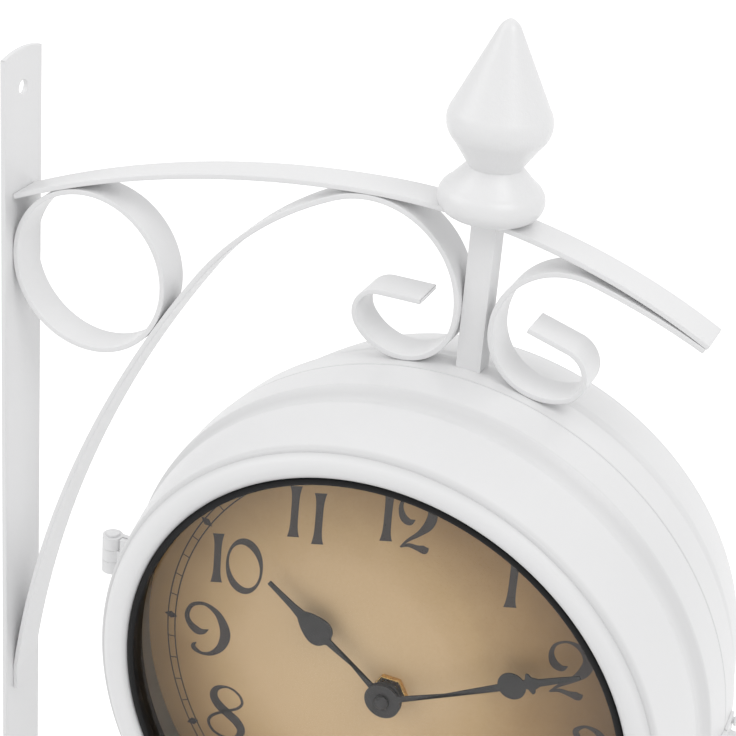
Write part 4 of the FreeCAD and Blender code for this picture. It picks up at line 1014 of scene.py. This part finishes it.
# ---- solids that keep their own shape: finish and rounding of the edges ----
WELD_DISTANCE = 0.004
FLAT_ANGLE, SHARP_ANGLE = math.radians(0.2), math.radians(35)
EDGED = {
    "post": (bracket_paint, 0.45),
    "hinge_leaf_front": (fitting_paint, 0.25),
    "hinge_leaf_rear": (fitting_paint, 0.25),
    "catch_tongue": (fitting_paint, 0.25),
    "catch_clip": (fitting_paint, 0.25),
    "hinge_pin": (fitting_paint, 0.25),
    "fitting_rivets_front": (fitting_paint, 0.3),
    "fitting_rivets_rear": (fitting_paint, 0.3),
    "finial_stud": (steel, 0.2),
    "post_screw": (steel, 0.3),
    "post_plate": (steel, 0.25),
}
PAIRED = {
    "dial": (card, 0.0),
    "dial_brackets": (steel, 0.15),
    "dial_screws": (steel, 0.2),
    "movement_housing": (black_plastic, 0.3),
    "movement_cover": (black_plastic, 0.3),
    "battery": (battery_wrap, 0.3),
    "battery_contacts": (nickel, 0.08),
    "rubber_washer": (rubber, 0.15),
    "brass_nut": (brass, 0.25),
    "minute_arbor": (brass, 0.1),
    "hour_pipe": (brass, 0.1),
    "setting_wheel": (wheel_plastic, 0.2),
}
for stem_name, finish in PAIRED.items():
    EDGED["front_" + stem_name] = finish
    EDGED["rear_" + stem_name] = finish
for node_name, (finish, edge_radius) in EDGED.items():
    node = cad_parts[node_name]
    node.data.materials.clear()
    node.data.materials.append(finish)
    if edge_radius:
        weld = node.modifiers.new("weld", "WELD")
        weld.merge_threshold = WELD_DISTANCE * MM
        merge = node.modifiers.new("merge", "DECIMATE")
        merge.decimate_type = "DISSOLVE"
        merge.angle_limit = FLAT_ANGLE
        ease = node.modifiers.new("ease", "BEVEL")
        ease.width = edge_radius * MM
        ease.segments = 3
        ease.limit_method = "ANGLE"
        ease.angle_limit = SHARP_ANGLE
        ease.harden_normals = False
        for polygon in node.data.polygons:
            polygon.use_smooth = True
        smooth = node.modifiers.new("weighted", "WEIGHTED_NORMAL")
        smooth.keep_sharp = True

# ---- stage, lamps, camera; lengths in metres ----
FLOOR_HALF = 12.0
FLOOR_GLOW = 0.42
WORLD_LEVEL = 0.75
SENSOR_WIDTH = 36.0
FOCAL_PIXELS, IMAGE_PIXELS = 2047.4, 736


def stage_floor():
    """Pale floor whose white shows as such to the camera, in reflections and through glass."""
    mesh = bpy.data.meshes.new("studio_floor")
    signs = ((-1, -1), (1, -1), (1, 1), (-1, 1))
    corners = [(FLOOR_HALF * a, FLOOR_HALF * b, FLOOR_HEIGHT) for a, b in signs]
    mesh.from_pydata(corners, [], [(0, 1, 2, 3)])
    floor = bpy.data.objects.new("studio_floor", mesh)
    bpy.context.scene.collection.objects.link(floor)
    material, nodes, links, shader = fresh("studio_floor")
    grain = texture(nodes, links, "ShaderNodeTexNoise", 3.0, Detail=2.0)
    stops = [(0.3, (0.86, 0.86, 0.86)), (0.7, (0.88, 0.88, 0.88))]
    links.new(ramp(nodes, links, grain.outputs["Fac"], stops), shader.inputs["Base Color"])
    shader.inputs["Roughness"].default_value = 0.9
    shader.inputs["Specular IOR Level"].default_value = 0.1
    shader.inputs["Emission Color"].default_value = (1.0, 1.0, 1.0, 1.0)
    glow = worked(nodes, links, "MULTIPLY", seen_directly(nodes, links), FLOOR_GLOW)
    links.new(glow, shader.inputs["Emission Strength"])
    mesh.materials.append(material)


def studio_world():
    """Soft light from all around, before a white background."""
    world = bpy.data.worlds.new("studio")
    world.use_nodes = True
    nodes, links = world.node_tree.nodes, world.node_tree.links
    background = nodes["Background"]
    background.inputs["Color"].default_value = (1.0, 1.0, 1.0, 1.0)
    level = spread(nodes, links, seen_directly(nodes, links), WORLD_LEVEL, 1.0, 0.0, 1.0)
    links.new(level, background.inputs["Strength"])
    bpy.context.scene.world = world


def area_lamp(name, place, target, size, power):
    light = bpy.data.lights.new(name, "AREA")
    light.shape = "SQUARE"
    light.size = size
    light.energy = power
    lamp = bpy.data.objects.new(name, light)
    lamp.location = place
    lamp.rotation_mode = "QUATERNION"
    lamp.rotation_quaternion = (Vector(target) - Vector(place)).to_track_quat("-Z", "Y")
    bpy.context.scene.collection.objects.link(lamp)


def photo_camera():
    """Camera at the photograph's angle."""
    data = bpy.data.cameras.new("photo_camera")
    data.sensor_width = SENSOR_WIDTH
    data.lens = FOCAL_PIXELS / IMAGE_PIXELS * SENSOR_WIDTH
    data.clip_start, data.clip_end = 0.02, 60.0
    right = Vector((0.91183, 0.40308, 0.07803))
    above = Vector((-0.24831, 0.39007, 0.88667))
    back = Vector((0.32696, -0.82787, 0.45577))
    camera = bpy.data.objects.new("photo_camera", data)
    place = Matrix((right, above, back)).transposed().to_4x4()
    camera.matrix_world = Matrix.Translation((0.38453, -0.60502, 0.4182)) @ place
    bpy.context.scene.collection.objects.link(camera)
    bpy.context.scene.camera = camera


stage_floor()
studio_world()
area_lamp("key", (1.5, -0.8, 1.9), MIDDLE, 1.2, 13.5)
area_lamp("fill", (-1.5, -0.8, 1.4), MIDDLE, 1.4, 8.5)
area_lamp("back", (0.2, 2.0, 1.5), MIDDLE, 1.6, 3.0)
photo_camera()

view = bpy.context.scene.view_settings
view.view_transform = "Standard"
